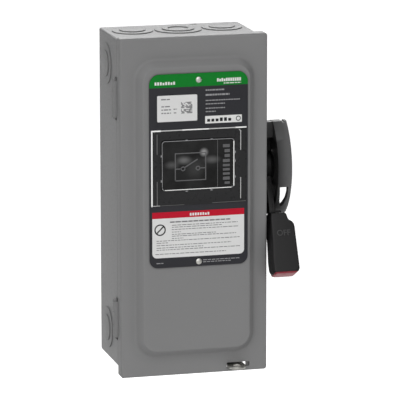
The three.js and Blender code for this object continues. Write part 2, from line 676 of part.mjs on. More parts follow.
/** A spring clip round one end of a fuse. */
function fuseClip(x, z0, z1) {
  const inner = FUSE.radius + GAP;
  const outer = inner + 1.3;
  const tip = FUSE.y - 7;
  const bridge = block(x - outer, x + outer, STRAP.front - 1.3, STRAP.front + 0.2, z0, z1);
  const cheeks = [-1, 1].map((side) => {
    const ends = [side * inner, side * outer].sort((a, b) => a - b);
    return block(x + ends[0], x + ends[1], tip, STRAP.front, z0, z1);
  });
  return join(bridge, ...cheeks);
}

function strap(x, z0, z1) {
  return block(x - STRAP.halfWidth, x + STRAP.halfWidth, STRAP.front, STRAP.back, z0, z1);
}

/** A wire lug with its bore along Z, and its clamping screw. */
function addLug(kind, number, x, z0, z1) {
  const middle = (z0 + z1) / 2;
  const blockBody = block(x - LUG.halfWidth, x + LUG.halfWidth, LUG.front,
    STRAP.front - GAP, z0, z1);
  const wire = rodZ(z0 - 1, z1 + 1, x, LUG.wireY, LUG.wireRadius, 16);
  const thread = rodY(LUG.front - 1, LUG.wireY, x, middle, 3.6, 12);
  add(`${kind}_lug_${number}`, cut(blockBody, wire, thread), aluminium);

  const screw = rodY(LUG.front - 4, LUG.front + 6, x, middle, 3.2, 12);
  const socket = rodY(LUG.front - 5, LUG.front - 1, x, middle, 1.9, 6);
  add(`${kind}_lug_screw_${number}`, cut(screw, socket), zinc);
}

function makePole(x, number) {
  const jaw = join(strap(x, 58, 138), ...bladeLeaves(x, -50, 58, 72));
  add(`line_jaw_${number}`, jaw, copper);
  addLug('line', number, x, 112, 134);

  const hinge = join(strap(x, -30, 26), ...bladeLeaves(x, -48, 8, 24), fuseClip(x, -28, -15));
  add(`hinge_jaw_${number}`, hinge, copper);

  const fuseBody = rodZ(FUSE.bottom + FUSE.ferrule, FUSE.top - FUSE.ferrule, x, FUSE.y,
    FUSE.radius - 0.5, 20);
  const ferrules = [
    rodZ(FUSE.bottom, FUSE.bottom + FUSE.ferrule + 0.1, x, FUSE.y, FUSE.radius, 20),
    rodZ(FUSE.top - FUSE.ferrule - 0.1, FUSE.top, x, FUSE.y, FUSE.radius, 20),
  ];
  add(`fuse_${number}`, join(fuseBody, ...ferrules), fusePaper);

  add(`load_clip_${number}`, join(strap(x, -157, -122), fuseClip(x, -138, -125)), copper);
  addLug('load', number, x, -157, -142);
}

function makeBlades() {
  const group = turnedGroup(BLADE.pivotY, BLADE.pivotZ, BLADE.rest);
  POLES.forEach((x, index) => {
    const outline = roundedRectangle(-BLADE.halfWidth, BLADE.halfWidth, -6, BLADE.length,
      [5.9, 5.9, 3, 5.5]);
    const body = extrudeAlongX(outline, x - BLADE.halfThickness, x + BLADE.halfThickness,
      { curveSegments: 5 });
    add(`switch_blade_${index + 1}`, body, copper, group);
  });

  const bar = block(BASE.left + 1, BASE.right - 1, -17, -2, 21, 34);
  const slots = POLES.map((x) => block(x - BLADE.halfThickness - GAP,
    x + BLADE.halfThickness + GAP, -BLADE.halfWidth - GAP, 8, 0, BLADE.length));
  const ends = [[BASE.left + 1, BASE.left + 5], [BASE.right - 5, BASE.right - 1]].map(
    ([x0, x1]) => block(x0, x1, -9, 4, -4, 30),
  );
  const stubs = [rodX(-61, BASE.left + 3, 0, 0, 3, 18), rodX(BASE.right - 3, 51, 0, 0, 3, 18)];
  add('blade_crossbar', join(cut(bar, ...slots), ...ends, ...stubs), blackPlastic, group);
}

function makeLineShield() {
  const left = BASE.left - 0.5;
  const right = BASE.right + 0.5;
  const wall = 1.8;
  const front = -60;
  const profile = polygon([
    [left - wall, BASE.back], [left - wall, front], [right + wall, front],
    [right + wall, BASE.back], [right, BASE.back], [right, front + wall],
    [left, front + wall], [left, BASE.back],
  ]);
  add('line_shield', extrudeAlongZ(profile, 100, 146), clearPlastic);
}

function makeGroundBar() {
  const bar = block(56, 70, -14, -SHEET - GAP, -150, -110);
  const wires = [-142, -130, -118].map((z) => rodX(50, 75, -8, z, 2.6, 12));
  add('ground_bar', cut(bar, ...wires), aluminium);
}

// ---------------------------------------------------------------- the whole assembly

makeEnclosure();
makeHasp();
makeDoor();
makeHinges();
makeLabel();
makeWindow();
makeInterlockHook();
makeGuard();
makeHandle();
makeMechanismBracket();
makeInterlockLatch();
makeBases();
POLES.forEach((x, index) => makePole(x, index + 1));
makeBlades();
makeLineShield();
makeGroundBar();

export default disconnect;
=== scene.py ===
"""Looks for the AC disconnect box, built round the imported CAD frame. Lengths are millimetres."""
import math
import random

import bmesh
import bpy
from mathutils import Matrix, Vector


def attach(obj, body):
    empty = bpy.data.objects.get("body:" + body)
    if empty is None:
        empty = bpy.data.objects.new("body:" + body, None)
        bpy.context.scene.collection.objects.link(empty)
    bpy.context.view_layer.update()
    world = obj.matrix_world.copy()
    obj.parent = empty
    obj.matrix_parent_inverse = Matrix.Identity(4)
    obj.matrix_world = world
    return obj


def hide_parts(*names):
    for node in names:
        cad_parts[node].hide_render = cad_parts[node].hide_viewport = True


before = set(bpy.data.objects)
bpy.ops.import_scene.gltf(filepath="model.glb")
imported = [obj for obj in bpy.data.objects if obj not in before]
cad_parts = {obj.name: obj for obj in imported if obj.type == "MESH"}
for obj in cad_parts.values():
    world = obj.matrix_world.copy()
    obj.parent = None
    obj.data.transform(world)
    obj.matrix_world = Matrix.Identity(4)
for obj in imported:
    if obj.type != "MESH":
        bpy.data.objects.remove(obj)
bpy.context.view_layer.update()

MM = 0.001                  # one millimetre in metres
SHEET = 1.5                 # steel sheet thickness
RELIEF = 0.06               # how far printing stands proud of the label
INK_STEP = 0.006            # height between printed strokes that cross
SOFT_ANGLE = 35             # turned and pressed faces stay smooth up to this many degrees
CREASE_ANGLE = 30           # the same, for pieces that are cut or joined

# ---- outlines


def arc(cx, cy, radius, start, end, steps):
    """Points along an arc, angles in degrees, both ends included."""
    points = []
    for i in range(steps + 1):
        a = math.radians(start + (end - start) * i / steps)
        points.append((cx + radius * math.cos(a), cy + radius * math.sin(a)))
    return points


def circle(cx, cy, radius, steps=48):
    return arc(cx, cy, radius, 0, 360, steps)[:-1]


def rounded(x0, x1, z0, z1, radius, steps=6):
    """A rounded rectangle, anticlockwise from the bottom left; radius may be four values."""
    radii = radius if isinstance(radius, (list, tuple)) else [radius] * 4
    bl, br, tr, tl = radii
    return (
        arc(x0 + bl, z0 + bl, bl, 180, 270, steps)
        + arc(x1 - br, z0 + br, br, 270, 360, steps)
        + arc(x1 - tr, z1 - tr, tr, 0, 90, steps)
        + arc(x0 + tl, z1 - tl, tl, 90, 180, steps)
    )


def grown(edges, distance, radius, steps):
    """A rounded rectangle with its sides moved outward from the given edges."""
    return rounded(edges["left"] - distance, edges["right"] + distance,
                   edges["bottom"] - distance, edges["top"] + distance, radius, steps)


def fillet(points, radii, steps):
    """An open line with its inner corners rounded; radii has one value per inner corner."""
    result = [Vector(points[0])]
    for i, radius in enumerate(radii):
        before, corner, after = (Vector(points[i + k]) for k in range(3))
        d0 = (before - corner).normalized()
        d1 = (after - corner).normalized()
        half = d0.angle(d1) / 2
        reach = radius / math.tan(half)
        centre = corner + (d0 + d1).normalized() * (radius / math.sin(half))
        start, end = corner + d0 * reach, corner + d1 * reach
        sweep = (end - centre).angle(start - centre)
        side = (start - centre).cross(end - centre)
        turn = sweep if side > 0 else -sweep
        for k in range(steps + 1):
            result.append(centre + Matrix.Rotation(turn * k / steps, 2) @ (start - centre))
    result.append(Vector(points[-1]))
    return result


def mitred(point, d0, d1, distance, sharpest):
    """A corner between two directions, moved to the left of both by a distance."""
    n0, n1 = Vector((-d0.y, d0.x)), Vector((-d1.y, d1.x))
    middle = (n0 + n1).normalized()
    return point + middle * (distance / max(middle.dot(n0), sharpest))


def offset_line(points, distance):
    """An open line moved to its left by a distance, with mitred corners."""
    moved = []
    for i, point in enumerate(points):
        before = points[max(i - 1, 0)]
        after = points[min(i + 1, len(points) - 1)]
        d0 = (point - before).normalized() if i else (after - point).normalized()
        d1 = (after - point).normalized() if i < len(points) - 1 else d0
        moved.append(mitred(point, d0, d1, distance, 0.2))
    return moved


# ---- meshes


def mesh_of(bm, smooth_angle=SOFT_ANGLE):
    """Closes a bmesh into a mesh in metres, smooth except at edges sharper than an angle."""
    bmesh.ops.remove_doubles(bm, verts=bm.verts, dist=1e-4)
    bmesh.ops.recalc_face_normals(bm, faces=bm.faces)
    bmesh.ops.scale(bm, vec=(MM, MM, MM), verts=bm.verts)
    mesh = bpy.data.meshes.new("mesh")
    bm.to_mesh(mesh)
    bm.free()
    return smoothed(mesh, smooth_angle)


def smoothed(mesh, angle=CREASE_ANGLE):
    mesh.shade_smooth()
    mesh.set_sharp_from_angle(angle=math.radians(angle))
    return mesh


def add_loft(bm, loops, cap_first=True, cap_last=True):
    """Quads between loops with equal point counts, and flat caps at the two ends."""
    rings = [[bm.verts.new(point) for point in loop] for loop in loops]
    for a, b in zip(rings, rings[1:]):
        count = len(a)
        for i in range(count):
            j = (i + 1) % count
            bm.faces.new((a[i], a[j], b[j], b[i]))
    if cap_first:
        bm.faces.new(list(reversed(rings[0])))
    if cap_last:
        bm.faces.new(rings[-1])


def along(axis, outline, level):
    """Places a 2-D outline on the plane where an axis has a level."""
    if axis == "x":
        return [Vector((level, a, b)) for a, b in outline]
    if axis == "y":
        return [Vector((a, level, b)) for a, b in outline]
    return [Vector((a, b, level)) for a, b in outline]


def shrink(outline, distance):
    """A closed outline, anticlockwise, moved inward by a distance."""
    count = len(outline)
    result = []
    for i in range(count):
        before = Vector(outline[i - 1])
        point = Vector(outline[i])
        after = Vector(outline[(i + 1) % count])
        d0, d1 = (point - before), (after - point)
        if d0.length < 1e-6 or d1.length < 1e-6:
            d0 = d1 = after - before
        d0, d1 = d0.normalized(), d1.normalized()
        result.append(mitred(point, d0, d1, distance, 0.5))
    return result


def add_prism(bm, axis, outline, low, high, edge=0.0, steps=3):
    """A prism with rounded rims. The outline has no corner tighter than the rim's radius."""
    loops = []
    if edge:
        for a, b in arc(0, 0, edge, 0, 90, steps)[::-1]:
            loops.append(along(axis, shrink(outline, edge - a), low + edge - b))
        for a, b in arc(0, 0, edge, 0, 90, steps):
            loops.append(along(axis, shrink(outline, edge - a), high - edge + b))
    else:
        loops = [along(axis, outline, low), along(axis, outline, high)]
    add_loft(bm, loops)


def prism(axis, outline, low, high, edge=0.0, steps=3):
    bm = bmesh.new()
    add_prism(bm, axis, outline, low, high, edge, steps)
    return mesh_of(bm)


def lathe(axis, centre, profile, sides=48):
    """A closed turned body; profile is (radius, level) from one end of the axis to the other."""
    bm = bmesh.new()
    add_loft(bm, [along(axis, circle(*centre, max(radius, 0.01), sides), level)
                  for radius, level in profile])
    return mesh_of(bm)


def plate(outline, holes, low, high, edge, axis="y"):
    """A flat plate with holes and rounded rims, made from a filled 2-D curve."""
    curve = bpy.data.curves.new("plate", "CURVE")
    curve.dimensions = "2D"
    curve.fill_mode = "BOTH"
    curve.extrude = (high - low) / 2 - edge
    curve.bevel_depth = edge
    curve.bevel_resolution = 2
    curve.offset = -edge
    for loop in [outline] + list(holes):
        spline = curve.splines.new("POLY")
        spline.points.add(len(loop) - 1)
        for point, (a, b) in zip(spline.points, loop):
            point.co = (a, b, 0, 1)
        spline.use_cyclic_u = True
    holder = bpy.data.objects.new("plate", curve)
    mesh = bpy.data.meshes.new_from_object(holder)
    bpy.data.objects.remove(holder)
    bpy.data.curves.remove(curve)
    middle = (low + high) / 2
    turns = {
        "y": Matrix(((1, 0, 0, 0), (0, 0, -1, middle), (0, 1, 0, 0), (0, 0, 0, 1))),
        "z": Matrix.Translation((0, 0, middle)),
    }
    bm = bmesh.new()
    bm.from_mesh(mesh)
    bpy.data.meshes.remove(mesh)
    bmesh.ops.transform(bm, matrix=turns[axis], verts=bm.verts)
    return mesh_of(bm)


def combine(mesh, others, operation):
    """Cuts other meshes out of a mesh, or joins them to it, exactly."""
    base = bpy.data.objects.new("base", mesh)
    bpy.context.scene.collection.objects.link(base)
    helpers = []
    for other in others:
        helper = bpy.data.objects.new("helper", other)
        bpy.context.scene.collection.objects.link(helper)
        modifier = base.modifiers.new("combine", "BOOLEAN")
        modifier.operation = operation
        modifier.solver = "EXACT"
        modifier.object = helper
        helpers.append(helper)
    graph = bpy.context.evaluated_depsgraph_get()
    result = bpy.data.meshes.new_from_object(base.evaluated_get(graph))
    result.name = mesh.name
    for temporary in [base] + helpers:
        bpy.data.objects.remove(temporary)
    return result


def cut(mesh, *others):
    return combine(mesh, others, "DIFFERENCE")


def join(mesh, *others):
    return combine(mesh, others, "UNION")


def intersect(mesh, *others):
    return combine(mesh, others, "INTERSECT")


def block(x0, x1, y0, y1, z0, z1):
    """A plain box, used only to cut or extend other meshes."""
    bm = bmesh.new()
    add_loft(bm, [
        along("z", [(x0, y0), (x1, y0), (x1, y1), (x0, y1)], z) for z in (z0, z1)
    ])
    return mesh_of(bm)


def rod(axis, centre, radius, low, high, sides=32):
    """A plain cylinder, used only to cut or extend other meshes."""
    return lathe(axis, centre, [(radius, low), (radius, high)], sides)


def round_edges(obj, width):
    """Rounds an object's sharp edges by a width in millimetres."""
    edges = obj.modifiers.new("edges", "BEVEL")
    edges.width = width * MM
    edges.segments = 2
    edges.limit_method = "ANGLE"
    edges.angle_limit = math.radians(40)
    edges.harden_normals = True


def piece(name, mesh, body, finish, replaces=(), bevel=0.0):
    """Adds a visible piece that rides on a body."""
    obj = bpy.data.objects.new(name, mesh)
    mesh.name = name
    mesh.materials.clear()
    mesh.materials.append(finish)
    bpy.context.scene.collection.objects.link(obj)
    if bevel:
        round_edges(obj, bevel)
    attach(obj, body)
    if replaces:
        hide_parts(*replaces)
    return obj


# ---- materials


def set_inputs(tree, node, values):
    """Gives a node's inputs their values; a value that is a socket is linked."""
    for name, value in values.items():
        if isinstance(value, bpy.types.NodeSocket):
            tree.links.new(value, node.inputs[name])
        else:
            node.inputs[name].default_value = value


def add_node(tree, kind, values, **settings):
    """A new shader node with its settings made and its inputs given."""
    node = tree.nodes.new(kind)
    for name, value in settings.items():
        setattr(node, name, value)
    set_inputs(tree, node, values)
    return node


def new_material(name, color, roughness, metallic=0.0, specular=0.5):
    """A principled material; returns it with its node tree, shader and coordinates."""
    made = bpy.data.materials.new(name)
    made.use_nodes = True
    tree = made.node_tree
    shader = tree.nodes["Principled BSDF"]
    set_inputs(tree, shader, {"Base Color": (*color, 1), "Roughness": roughness,
                              "Metallic": metallic, "Specular IOR Level": specular})
    coordinates = tree.nodes.new("ShaderNodeTexCoord")
    return made, tree, shader, coordinates.outputs["Object"]


def noise(tree, coordinates, scale, detail=3.0, stretch=(1, 1, 1)):
    """A noise texture with a scale in features per metre."""
    mapping = add_node(tree, "ShaderNodeMapping", {"Scale": stretch, "Vector": coordinates})
    return add_node(tree, "ShaderNodeTexNoise",
                    {"Scale": scale, "Detail": detail,
                     "Vector": mapping.outputs["Vector"]}).outputs["Fac"]


def ranged(tree, value, low, high, from_low=0.3, from_high=0.7):
    """Maps a texture value to a range."""
    return add_node(tree, "ShaderNodeMapRange",
                    {"From Min": from_low, "From Max": from_high, "To Min": low,
                     "To Max": high, "Value": value}).outputs["Result"]


def calculated(tree, operation, *values):
    """The result of a math node; each value is a number or a socket."""
    return add_node(tree, "ShaderNodeMath", dict(enumerate(values)),
                    operation=operation).outputs["Value"]


def vector_math(tree, operation, *values):
    """The outputs of a vector math node; each value is a vector or a socket."""
    return add_node(tree, "ShaderNodeVectorMath", dict(enumerate(values)),
                    operation=operation).outputs


def separated(tree, place):
    """The X, Y and Z of a place, as sockets."""
    return add_node(tree, "ShaderNodeSeparateXYZ", {"Vector": place}).outputs


def mixed(tree, factor, color_a, color_b):
    """Mixes two colours by a factor socket."""
    return add_node(tree, "ShaderNodeMix",
                    {"Factor": factor, "A": (*color_a, 1), "B": (*color_b, 1)},
                    data_type="RGBA").outputs["Result"]


def bump(tree, shader, heights):
    """Stacks bumps; heights is a list of (texture value, strength, distance in mm)."""
    below = {}
    for value, strength, distance in heights:
        node = add_node(tree, "ShaderNodeBump", {"Strength": strength, "Height": value,
                                                 "Distance": distance * MM, **below})
        below = {"Normal": node.outputs["Normal"]}
    set_inputs(tree, shader, below)


def textured(name, color, roughness, spread, grain, wave, specular=0.5):
    """A material with mottled colour and uneven gloss; grain and wave are (per metre, mm)."""
    made, tree, shader, place = new_material(name, color, roughness, 0.0, specular)
    slow = noise(tree, place, 25, 4)
    fine = noise(tree, place, grain[0], 2)
    broad = noise(tree, place, wave[0], 2)
    darker = tuple(c * (1 - spread) for c in color)
    lighter = tuple(min(c * (1 + spread), 1) for c in color)
    tree.links.new(mixed(tree, slow, darker, lighter), shader.inputs["Base Color"])
    gloss = ranged(tree, broad, max(roughness - 0.05, 0.02), min(roughness + 0.06, 1))
    tree.links.new(gloss, shader.inputs["Roughness"])
    bump(tree, shader, [(broad, 0.35, wave[1]), (fine, 0.3, grain[1])])
    return made


def brushed_metal(name, color, roughness, stretch=(1, 1, 12)):
    """Metal with a fine brushed grain along one axis and dull patches."""
    made, tree, shader, place = new_material(name, color, roughness, 1.0)
    lines = noise(tree, place, 700, 3, stretch)
    patches = noise(tree, place, 60, 4)
    darker = tuple(c * 0.86 for c in color)
    tree.links.new(mixed(tree, patches, darker, color), shader.inputs["Base Color"])
    gloss = ranged(tree, patches, max(roughness - 0.06, 0.05), roughness + 0.1)
    tree.links.new(gloss, shader.inputs["Roughness"])
    bump(tree, shader, [(lines, 0.25, 0.02)])
    return made


def scaled_color(finish, factor):
    """Multiplies a material's colour by a factor socket."""
    tree = finish.node_tree
    shader = tree.nodes["Principled BSDF"]
    color = shader.inputs["Base Color"].links[0].from_socket
    scale = add_node(tree, "ShaderNodeVectorMath", {0: color, "Scale": factor},
                     operation="SCALE")
    tree.links.new(scale.outputs["Vector"], shader.inputs["Base Color"])


def painted_crease_shade(finish, reach, darkest):
    """Paints shade into a material's colour in its creases and hollows, darkening it down to a
    factor.
    """
    tree = finish.node_tree
    crease = add_node(tree, "ShaderNodeAmbientOcclusion", {"Distance": reach * MM}, samples=8)
    scaled_color(finish, ranged(tree, crease.outputs["AO"], darkest, 1.0, 0.5, 1.0))


def painted_guard_shade_and_sheen(finish, face_range, face_shade_to_sheen, block_range, block_highlight):
    """Paints light and shade into the guard's colour across its face in X: painted shade toward the
    box, painted sheen toward its outer edge, and a block above a height made paler as a painted
    highlight.
    """
    tree = finish.node_tree
    place = separated(tree, tree.nodes["Texture Coordinate"].outputs["Object"])
    across = ranged(tree, place["X"], *face_shade_to_sheen, *[v * MM for v in face_range])
    above = ranged(tree, place["Z"], 0.0, block_highlight, *[v * MM for v in block_range])
    scaled_color(finish, calculated(tree, "MAXIMUM", across, above))


PAINT = ((0.235, 0.235, 0.236), 0.5, 0.015, (1400, 0.012), (380, 0.02), 0.12)
paint = textured("enclosure_paint", *PAINT)
hinge_paint = textured("hinge_paint", *PAINT)
# The enclosure paint gets painted shade in its creases; hinge_paint is the same paint without that
# painted shade.
painted_crease_shade(paint, 16.0, 0.72)
zinc = brushed_metal("zinc_steel", (0.62, 0.61, 0.57), 0.3)
copper = brushed_metal("tinned_copper", (0.72, 0.36, 0.2), 0.28)
aluminium = brushed_metal("aluminium", (0.7, 0.71, 0.72), 0.36, (12, 1, 1))
black_plastic = textured("black_plastic", (0.015, 0.0145, 0.015), 0.46, 0.1, (2600, 0.03),
                         (500, 0.02), 0.25)
guard_plastic = textured("guard_plastic", (0.085, 0.085, 0.086), 0.5, 0.1, (2400, 0.03),
                         (400, 0.03), 0.2)
red_plastic = textured("red_plastic", (0.28, 0.03, 0.045), 0.4, 0.06, (2600, 0.02),
                       (500, 0.02), 0.3)
# The guard's face gets painted shade and sheen, and its top block a painted highlight; the guard
# and the black plastic also get painted shade in their creases.
painted_guard_shade_and_sheen(guard_plastic, (95.0, 112.0), (0.12, 1.6), (58.0, 63.0), 1.15)
painted_crease_shade(guard_plastic, 40.0, 0.5)
painted_crease_shade(black_plastic, 14.0, 0.25)
insulator = textured("moulded_insulator", (0.16, 0.035, 0.022), 0.5, 0.3, (900, 0.04),
                     (250, 0.03))
label_film = textured("label_film", (0.031, 0.031, 0.036), 0.38, 0.05, (3000, 0.004),
                      (200, 0.01), 0.2)
rubber = textured("gasket_rubber", (0.012, 0.012, 0.012), 0.75, 0.15, (1800, 0.05), (300, 0.03))
fuse_paper = textured("fuse_body", (0.66, 0.6, 0.44), 0.6, 0.08, (1500, 0.03), (200, 0.02))


def ink(name, color, roughness=0.4):
    return textured(name, color, roughness, 0.03, (3000, 0.003), (200, 0.005), 0.15)


white_ink = ink("white_ink", (0.8, 0.8, 0.79))
# A painted highlight colour, for the bright lines round the window and on the lens rim.
painted_highlight_ink = ink("painted_highlight_ink", (0.97, 0.97, 0.96))
green_ink = ink("green_ink", (0.004, 0.205, 0.022))
red_ink = ink("red_ink", (0.54, 0.008, 0.028))
grey_ink = ink("grey_ink", (0.22, 0.22, 0.225))
black_ink = ink("black_ink", (0.02, 0.02, 0.022))
sticker_paper = ink("sticker_paper", (0.76, 0.76, 0.755), 0.5)
title_ink = ink("title_ink", (0.33, 0.33, 0.34))
pale_grey_ink = ink("pale_grey_ink", (0.2, 0.2, 0.2))
# Two dimmer painted highlight colours, for the duller and fainter lines round the window.
painted_dull_highlight_ink = ink("painted_dull_highlight_ink", (0.62, 0.62, 0.62), 0.3)
painted_faint_highlight_ink = ink("painted_faint_highlight_ink", (0.13, 0.13, 0.13), 0.3)
ghost_ink = ink("ghost_ink", (0.13, 0.13, 0.133), 0.3)
bezel_film = ink("bezel_film", (0.027, 0.027, 0.028), 0.3)
band_ink = ink("band_ink", (0.05, 0.12, 0.3), 0.5)
pale_zinc = brushed_metal("pale_zinc", (0.74, 0.73, 0.69), 0.42)
letter_plastic = ink("letter_plastic", (0.06, 0.06, 0.061), 0.5)


# Painted glints: bright spots added to the lens's colour.
PAINTED_LENS_GLINTS = [                         # X, Z, half width, half height, strength
    (11.0, 57.3, 6.0, 6.0, 0.32), (-11.0, 49.5, 11.0, 6.0, 0.13), (-24.5, 45.0, 11.0, 6.0, 0.07),
    (20.0, 49.0, 12.0, 6.0, 0.09), (2.0, 41.0, 15.0, 15.0, 0.03)]
LENS_FRONT = (-104.0, -102.0)           # the glints fade out between these two depths


def painted_glint(tree, place, x, z, half_x, half_z, strength):
    """A painted glint: a soft oval bright spot at a place on the lens, as a brightness socket."""
    offset = vector_math(tree, "SUBTRACT", place, (x * MM, 0, z * MM))["Vector"]
    scaled = vector_math(tree, "DIVIDE", offset, (half_x * MM, 1e6, half_z * MM))["Vector"]
    reach = vector_math(tree, "LENGTH", scaled)["Value"]
    return add_node(tree, "ShaderNodeMapRange", {"To Min": strength, "To Max": 0.0,
                                                 "Value": reach},
                    interpolation_type="SMOOTHSTEP").outputs["Result"]


def smoked_plastic():
    """Dark glossy window plastic with faint flow marks, and soft glints painted into its colour on
    its front face.
    """
    made, tree, shader, place = new_material("smoked_plastic", (0.018, 0.018, 0.019), 0.2,
                                             specular=0.15)
    haze = noise(tree, place, 45, 3)
    tree.links.new(ranged(tree, haze, 0.16, 0.26), shader.inputs["Roughness"])
    bump(tree, shader, [(noise(tree, place, 30, 2), 0.2, 0.05)])
    total = ranged(tree, noise(tree, place, 60, 3), 0.012, 0.024)
    for spot in PAINTED_LENS_GLINTS:
        total = calculated(tree, "ADD", total, painted_glint(tree, place, *spot))
    depth = separated(tree, place)["Y"]
    in_front = ranged(tree, depth, 1.0, 0.06, *[v * MM for v in LENS_FRONT])
    shown = calculated(tree, "MULTIPLY", total, in_front)
    color = add_node(tree, "ShaderNodeCombineColor", {"Red": shown, "Green": shown, "Blue": shown})
    tree.links.new(color.outputs["Color"], shader.inputs["Base Color"])
    return made


smoked = smoked_plastic()

# ---- enclosure

BOX = {"left": -78.3, "right": 82.0, "bottom": -179.5, "top": 179.5, "front": -93.5}
BOX_RADII = [2.0, 8.0, 8.0, 2.0]        # bottom left, bottom right, top right, top left
STEP = {"outer": -76.6, "shoulder": -81.0}   # the joggle's X, and its depth
BACK_BEND = 2.0
KNOCKOUT_STEP = 1.1
KNOCKOUT_BACK = -13.5
KNOCKOUT = (22, 14)                     # radii of the raised discs, outer first
CENTRE_KNOCKOUT = (25.5, 17.5)
CENTRE_DENT = {"radius": 11, "depth": 1.1}
END_SPACING = 49.7                      # from the middle knockout to its neighbours
SIDE_HEIGHT = 146
MOUNTING_HOLES = ((0, 150), (-50, -150), (50, -150))
MOUNTING_RADIUS = 3.6
HASP_OPENING = (37.7, 61.3, -94.5, -91, -188.5, -179.8)
TOP_NOTCH = (22.5, 29.5, -8.5, -4.0)
HINGE_CENTRES = {"upper": 114.5, "lower": -127.0}
PIVOT = (-60.0, 30.0)                   # handle shaft, Y and Z


def box_loop(inset, y, left=BOX["left"]):
    """The box's cross-section at one depth, drawn in from its outside by an inset."""
    radii = [max(radius - inset, 0.4) for radius in BOX_RADII]
    return along("y", grown(dict(BOX, left=left), -inset, radii, 8), y)


def box_mesh():
    loops = []
    for a, b in arc(0, 0, BACK_BEND, 90, 0, 5):
        loops.append(box_loop(BACK_BEND - a, -BACK_BEND + b))
    shoulder, outer, front = STEP["shoulder"], STEP["outer"], BOX["front"]
    loops += [box_loop(0, shoulder + 1.0), box_loop(0, shoulder - 0.2, outer),
              box_loop(0, front + 0.4, outer), box_loop(0.4, front, outer),
              box_loop(SHEET - 0.4, front, outer), box_loop(SHEET, front + 0.4, outer),
              box_loop(SHEET, shoulder - 0.6, outer), box_loop(SHEET, shoulder + 1.2)]
    inner = BACK_BEND - SHEET
    for a, b in arc(0, 0, inner, 0, 90, 3):
        loops.append(box_loop(BACK_BEND - a, -BACK_BEND + b))
    bm = bmesh.new()
    add_loft(bm, loops)
    return mesh_of(bm)


def front_returns():
    """The rim's flat returns and the outward lip at the bottom, seen with the door open."""
    front, back = BOX["front"], BOX["front"] + SHEET
    inner_left = STEP["outer"] + SHEET / 2
    right = BOX["right"] - BOX_RADII[1]
    return [
        block(STEP["outer"] + 8, right, front, back, BOX["bottom"] - 5.8, BOX["bottom"] + 0.75),
        block(inner_left, STEP["outer"] + 8, front, back, BOX["bottom"] + 0.75, BOX["top"] - 0.75),
        block(inner_left, right, front, back, BOX["top"] - 8, BOX["top"] - 0.75),
    ]


def make_enclosure():
    shell = join(box_mesh(), *front_returns())
    cutters = []
    for centre in HINGE_CENTRES.values():
        cutters.append(block(-80, -74.9, -81.2, -74.1, centre - 23.3, centre + 23.3))
    cutters.append(rod("x", PIVOT, 6.0, 79, 84))
    for centre in MOUNTING_HOLES:
        cutters.append(rod("y", centre, MOUNTING_RADIUS, -3, 1))
    cutters.append(block(*HASP_OPENING))
    cutters.append(block(*TOP_NOTCH, BOX["top"] - 0.8, BOX["top"] + 1))
    shell = smoothed(cut(shell, *cutters))
    piece("enclosure_shell", shell, "box", paint, ["enclosure_box"])


def knockout_profile(surface, sign, radii):
    """A stepped disc's turned profile, from inside the wall outward."""
    round_off = 0.25
    profile = [(radii[0], surface - sign * 0.6)]
    for index, radius in enumerate(radii):
        level = surface + sign * (index + 1) * KNOCKOUT_STEP
        for a, b in arc(0, 0, round_off, 0, 90, 3):
            profile.append((radius - round_off + a, level - sign * (round_off - b)))
        if index + 1 < len(radii):
            profile.append((radii[index + 1], level))
    return profile


def dished(profile, sign, radius):
    """Adds a shallow round dent to the middle of a knockout."""
    top = profile[-1][1]
    return profile + [(radius + 0.3, top), (radius, top - sign * 0.3),
                      (radius - 0.2, top - sign * CENTRE_DENT["depth"])]


def make_knockouts():
    for side, sign in (("top", 1), ("bottom", -1)):
        for where, x in (("left", -END_SPACING), ("middle", 0), ("right", END_SPACING)):
            radii = CENTRE_KNOCKOUT if where == "middle" else KNOCKOUT
            profile = knockout_profile(BOX[side], sign, radii)
            if where == "middle":
                profile = dished(profile, sign, CENTRE_DENT["radius"])
            mesh = lathe("z", (x, KNOCKOUT_BACK - radii[0]), profile, 72)
            piece(f"knockout_{side}_{where}", mesh, "box", paint)
    for side, sign in (("right", 1), ("left", -1)):
        for where, z in (("upper", SIDE_HEIGHT), ("lower", -SIDE_HEIGHT)):
            profile = knockout_profile(BOX[side], sign, KNOCKOUT)
            mesh = lathe("x", (KNOCKOUT_BACK - KNOCKOUT[0], z), profile, 72)
            piece(f"knockout_{side}_{where}", mesh, "box", paint)


make_enclosure()
make_knockouts()

# ---- door

DOOR = {"left": -78.5, "right": 84.5, "bottom": -189.5, "top": 181.5, "front": -96.0, "back": -81.5}
PANEL = {"left": -55.3, "right": 62.5, "bottom": -159.8, "top": 150.4}
PANEL_SLOPE = 7.0
PANEL_FACE = -105.0
PANEL_RADIUS = 15.0
PANEL_BENDS = {"foot": 5.0, "crest": 2.4}
DOOR_RADIUS = 3.0
WINDOW_RADIUS = 4.0
DOOR_BEND = 2.6
WINDOW = {"left": -36.2, "right": 45.3, "bottom": 16.5, "top": 72.0}
LABEL_FACE = -106.1
RIVETS = {"top": (5.5, 136.1), "bottom": (5.5, -62.1)}
HASP_SLOT = (39.3, 64.8, -184.5, -179.2)
HINGE_AXIS = (-80.0, -77.5)
HINGE_LENGTH = 40.0
KNUCKLE = {"radius": 3.0, "bore": 1.65, "edge": 0.35}
LEAF_RIVETS = {"low": -13, "high": 13}  # heights from the hinge's middle
CORNER_STEPS = 10


def door_loop(inset, y):
    """The door flange's outline, drawn in by an inset."""
    radius = max(DOOR_RADIUS - inset, 0.3)
    return along("y", grown(DOOR, -inset, radius, CORNER_STEPS), y)


def panel_loop(grow, y):
    """The raised panel's outline, grown outward down its slope."""
    return along("y", grown(PANEL, grow, PANEL_RADIUS + grow, CORNER_STEPS), y)


def window_loop(grow, y):
    """The window opening's outline, grown outward."""
    return along("y", grown(WINDOW, grow, WINDOW_RADIUS + grow, CORNER_STEPS), y)


